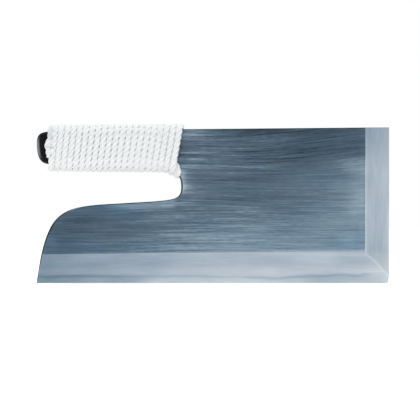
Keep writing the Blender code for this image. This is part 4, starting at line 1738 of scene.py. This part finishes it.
    def tail(self, top_x: float) -> tuple[Array, Array]:
        """The last end: down the front beside the last turn, then round a bend into the front scale.

        Args:
            top_x: X of the crossing of the top.

        Returns:
            Places and outward directions.
        """
        core, inner = self.core, self.core.half_core + self.tail_lift
        swing = core.edge_radius + self.offset
        corner = np.linspace(np.pi / 2, 0, self.corner_steps + 1)
        bend = corner[::-1]
        top_z = float(core.outline.top(np.array(top_x))) + self.offset
        upper_y = core.half_core - core.edge_radius + swing * np.cos(corner)
        upper_z = top_z - swing * (1 - np.sin(corner))
        share = np.linspace(0, 1, self.face_steps + 1)[1:-1]
        face_y = upper_y[-1] + (inner + self.tail_bend - upper_y[-1]) * eased(share)
        face_z = upper_z[-1] + (self.tail_height + self.tail_bend - upper_z[-1]) * share
        bend_y = inner + self.tail_bend * np.cos(bend)
        bend_z = self.tail_height + self.tail_bend * (1 - np.sin(bend))
        last_y = np.linspace(inner, core.half_core - self.tail_depth, self.end_steps + 1)[1:]
        none, full = np.zeros(len(last_y)), np.ones(len(last_y))
        y = np.concatenate([upper_y, face_y, bend_y, last_y])
        z = np.concatenate([upper_z, face_z, bend_z, self.tail_height * full])
        out = np.concatenate([np.cos(corner), np.ones(len(share)), np.cos(bend), none])
        lift = np.concatenate([np.sin(corner), np.zeros(len(share)), -np.sin(bend), -full])
        x = np.where(z > self.tail_top, top_x, np.interp(z, *np.array(self.tail_line).T))
        return np.stack([x, -y, z], 1), np.stack([0 * z, -out, lift], 1)

    def middle_line(self) -> tuple[Array, Array]:
        """The whole middle line, at even steps. X is averaged over a short length, as the cord's stiffness
        does, and more where nothing holds it.

        Returns:
            Places and outward directions.
        """
        number, neck = np.arange(self.turns), self.core.outline.neck_x
        tops = neck - self.first_top - number * self.top_pitch
        lows = neck - self.first_low - number * self.low_pitch
        start_low, tail_top = neck - self.start_setback, tops[-1] - self.last_pitch
        lean, clearance = self.start_back_lean, self.start_clearance
        first_back = self.half_turns(start_low, tops[0], Side.FLAT, lean, clearance)
        fronts = self.half_turns(lows, tops, Side.BEVELLED)
        over = np.clip(1 - ((fronts[0][0, :, 2] - self.start_cap[1]) / self.ride_reach) ** 2, 0, 1)
        fronts[0][0, :, 1] -= self.ride * over
        backs = self.half_turns(lows, np.append(tops[1:], tail_top), Side.FLAT)
        loops = [np.stack([down[:, ::-1], up], axis=1).reshape(-1, 3) for down, up in zip(fronts, backs)]
        parts = (self.start(start_low), [lines[0] for lines in first_back], loops, self.tail(tail_top))
        both = np.concatenate([np.concatenate(part, axis=1) for part in parts])
        both = both[np.append(True, np.diff(distances(both)) > 1e-6)]
        even = self.averaged(resampled(both, self.step), self.stiffness)
        to_end = np.linspace(distances(both)[-1], 0, len(even))
        free = smoothstep(to_end, self.tail_length - self.tail_ease, self.tail_length)
        even[:, 0] += free * (self.averaged(even[:, :1], self.slack)[:, 0] - even[:, 0])
        return even[:, :3], unit(even[:, 3:])

    def averaged(self, values: Array, length: float) -> Array:
        """Each column averaged over a length of cord, with its ends fixed.

        Args:
            values: columns of values at even steps.
            length: the length of cord.

        Returns:
            As many columns, as long.
        """
        count = max(int(length / self.step) // 2, 1)
        window = np.hanning(2 * count + 3)[1:-1]
        window /= window.sum()
        padded = np.pad(values, ((count, count), (0, 0)), mode="reflect", reflect_type="odd")
        return np.stack([np.convolve(column, window, mode="valid") for column in padded.T], axis=1)


@dataclass
class HandleCord(CordCourse):
    """The three-strand cotton cord. Its strands run round its middle line a third of a turn apart, with a
    right-handed lay."""

    strand_distance: float = 1.28
    strand_radius: float = 1.48
    flattening: float = 0.93
    spread: float = 1.08
    # Painted shadows where the last end presses on the turn beside it.
    crease_shadows: Spots = (
        ((-136.2, 130.6), (0.9, 1.5), 0.7), ((-136.1, 123.8), (1.0, 1.7), 0.8),
        ((-136.3, 115.1), (1.7, 0.9), 1.1), ((-139.6, 115.3), (2.2, 0.8), 0.7),
        ((-136.9, 108.5), (1.0, 1.6), 0.7), ((-138.0, 126.0), (2.6, 7.5), 0.35),
    )  # fmt: skip
    # Where the painted shade lies: grooves, flanks, upper and lower parts, a fainter end and one joint.
    groove: Pair = (0.92, 0.5)
    flank: Pair = (0.6, 1.0)
    upper_part: Pair = (121.0, 128.0)
    lower_part: Pair = (108.0, 99.0)
    faint_shade_end: Pair = (-136.0, -108.0)
    shaded_joint: Pair = (-37.8, 127.6)
    joint_slope: float = 8.0
    joint_reach: float = 1.3
    lay: float = 14.8
    lay_start: float = -0.176
    sides: int = 16
    end_round: float = 1.2
    end_tip: float = 0.12

    def pressed(self, offsets: Array, first: Array, second: Array) -> Array:
        """Offsets flattened against the core and widened sideways, as a tight winding presses a cord."""
        changes = ((first[:, None], self.flattening - 1), (second[:, None], self.spread - 1))
        return offsets + sum(by * (offsets * axis).sum(axis=2, keepdims=True) * axis for axis, by in changes)

    def painted_shade(self, places: Array, offsets: Array, away: Array, across: Array) -> Array:
        """Painted shade on the cotton: in the grooves between the strands, which lie nearer the cord's
        middle than their crests, and along its two sides, where it touches the turns beside it. It is
        most halfway up the two faces, less over the top, and least near the underside and at the handle's
        end. It also lies along one joint near the blade, and as painted shadows in the folds where the last
        end presses on the turn beside it.

        Args:
            places: the cord's middle line.
            offsets: from it to the points of each ring.
            away: directions away from the core.
            across: directions to the cord's sides.

        Returns:
            One value for each point of each ring.
        """
        crest = self.strand_distance + self.strand_radius
        depth = smoothstep(np.linalg.norm(offsets, axis=2) / crest, *self.groove)
        side = smoothstep(np.abs((offsets * across[:, None]).sum(axis=2)) / crest, *self.flank)
        on_faces = 1 - away[:, 2:] ** 2
        x, y, z = np.moveaxis(places[:, None] + offsets, 2, 0)
        upper, lower = smoothstep(z, *self.upper_part), smoothstep(z, *self.lower_part)
        sides = 0.05 + 0.50 * on_faces * (1 - 0.6 * lower - 0.85 * upper)
        sides = sides * (0.45 + 0.55 * smoothstep(x, *self.faint_shade_end))
        grey = (0.36 + 0.26 * on_faces) * (1 - 0.25 * lower - 0.5 * upper) * depth
        grey += sides * side + 0.24 * on_faces * (1 - lower) + 0.15 * upper
        # Painted shade along one joint near the blade, and painted shadows beside the last end.
        off_joint = x - self.shaded_joint[0] - (z - self.shaded_joint[1]) / self.joint_slope
        joint_shade = 0.5 * side * bell(off_joint, 0, self.joint_reach) * (1 - lower)
        return grey + (joint_shade + spots(x, z, self.crease_shadows)) * (y < 0)

    def build(self) -> None:
        """Builds the strands. A strand's middle turns round the cord's at the strand's distance from it,
        once in each lay, and the strand is a circle about its own middle."""
        places, away = self.middle_line()
        along = distances(places)
        LOG.info("cord: %.0f mm long", along[-1])
        run = unit(np.gradient(places, axis=0))
        first = square_to(away, run)
        second = np.cross(run, first)
        around = np.linspace(0, 2 * np.pi, self.sides, endpoint=False)[:, None]
        from_end = np.clip(np.minimum(along, along[-1] - along) / self.end_round, 0, 1)
        radius = self.strand_radius * np.sqrt(from_end * (2 - from_end))
        radius = np.maximum(radius, self.end_tip)[:, None, None]
        girths = along / (2 * np.pi * self.strand_radius)
        shares = np.arange(self.sides + 1) / self.sides
        pairs = np.stack(np.broadcast_arrays(shares, girths[:, None]), axis=-1)
        corners = grid_triangles(np.arange(pairs[..., 0].size).reshape(pairs.shape[:2]))
        grain = np.concatenate([pairs.reshape(-1, 2)[corners], np.zeros((2 * self.sides, 3, 2))])
        finish = CottonStrand().build()
        for strand in range(3):
            angle = (2 * np.pi * (along / self.lay + strand / 3 + self.lay_start))[:, None]
            outward = self.strand_distance * (np.cos(angle) * first + np.sin(angle) * second)
            heading = unit(np.gradient(places + outward, axis=0))
            radial = square_to(outward, heading)
            ring = np.cos(around) * radial[:, None] + np.sin(around) * np.cross(heading, radial)[:, None]
            offsets = outward[:, None] + radius * ring
            middle = places[:, None] + self.pressed(outward[:, None], first, second)
            rings = places[:, None] + self.pressed(offsets, first, second)
            points, faces = closed_stack(rings, middle[[0, -1], 0])
            # The painted shade, carried as the tone value.
            grey = {TONE: np.append(self.painted_shade(places, offsets, away, second).ravel(), [0.0, 0.0])}
            piece = make_piece(f"cord_strand_{strand + 1}", points, faces, [finish], None, grain, grey)
            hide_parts("cord_wrap")


# Stage, light and camera


@dataclass
class Studio:
    """A white room with soft light, and a camera that looks straight at the bevelled side.

    The camera's place is in millimetres, and the room's own sizes are in metres. A lamp has its name, its
    place, its size and its power in watts.
    """

    lens: float = 200.0
    sensor: float = 36.0
    clip: Pair = (0.05, 50.0)
    camera_place: Place = (-2.4, -1984.0, 62.15)
    floor_size: float = 12.0
    lamps: tuple[tuple[str, Place, float, float], ...] = (
        ("softbox_above", (-0.1, -0.1, 1.5), 1.3, 1.8),
        ("softbox_right", (1.3, -0.5, 0.7), 1.0, 0.9),
        ("softbox_low", (-0.5, -0.7, 0.17), 0.3, 0.2),
    )
    aim: Place = (0.0, 0.0, 0.07)
    room_light: float = 0.96

    def build(self) -> None:
        """Builds the camera, the floor, the lamps and the world."""
        camera = put("camera", bpy.data.cameras.new("camera"))
        camera.data.lens = self.lens
        camera.data.sensor_width = self.sensor
        camera.data.clip_start, camera.data.clip_end = self.clip
        camera.location = Vector(self.camera_place) * MM
        camera.rotation_euler = (np.pi / 2, 0, 0)
        bpy.context.scene.camera = camera
        self.build_floor()
        self.build_lamps()
        self.build_world()
        bpy.context.scene.view_settings.view_transform = "Standard"

    def build_floor(self) -> None:
        """Builds a flat white floor."""
        half = self.floor_size / 2
        mesh = bpy.data.meshes.new("floor")
        corners = [(-half, -half, 0), (half, -half, 0), (half, half, 0), (-half, half, 0)]
        mesh.from_pydata(corners, [], [(0, 1, 2, 3)])
        mesh.materials.append(RoomWhite().build())
        floor = put("floor", mesh)

    def build_lamps(self) -> None:
        """Builds the square softboxes, which face the knife."""
        for name, place, size, power in self.lamps:
            lamp = bpy.data.lights.new(name, "AREA")
            lamp.size, lamp.energy = size, power
            softbox = put(name, lamp)
            softbox.location = place
            softbox.rotation_euler = (Vector(self.aim) - Vector(place)).to_track_quat("-Z", "Y").to_euler()

    def build_world(self) -> None:
        """A white room: full white to the camera and in mirrors, and a little less as light."""
        world = bpy.data.worlds.new("white_room")
        bpy.context.scene.world = world
        nodes = Nodes(world)
        seen_white = (seen(nodes, "Camera", "Glossy", "Transmission"), 1 - self.room_light)
        white = {"Color": (1, 1, 1, 1), "Strength": nodes.total(self.room_light, seen_white)}
        nodes.feed(nodes.tree.nodes["Background"], white)


def dress_rivets() -> None:
    """Gives the rivets, whose shape stays the frame's, their brass."""
    brass = DrawnBrass().build()
    for name in ("rivet_rear", "rivet_fore"):
        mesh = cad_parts[name].data
        mesh.materials.clear()
        mesh.materials.append(brass)
        LOG.info("%s: dressed in brass", name)


def main() -> None:
    """Builds the knife and its studio."""
    logging.basicConfig(level=logging.INFO, format="%(name)s: %(message)s")
    Studio().build()
    Blade().build()
    HandleScales().build()
    HandleCord().build()
    dress_rivets()


if __name__ == "__main__":
    main()
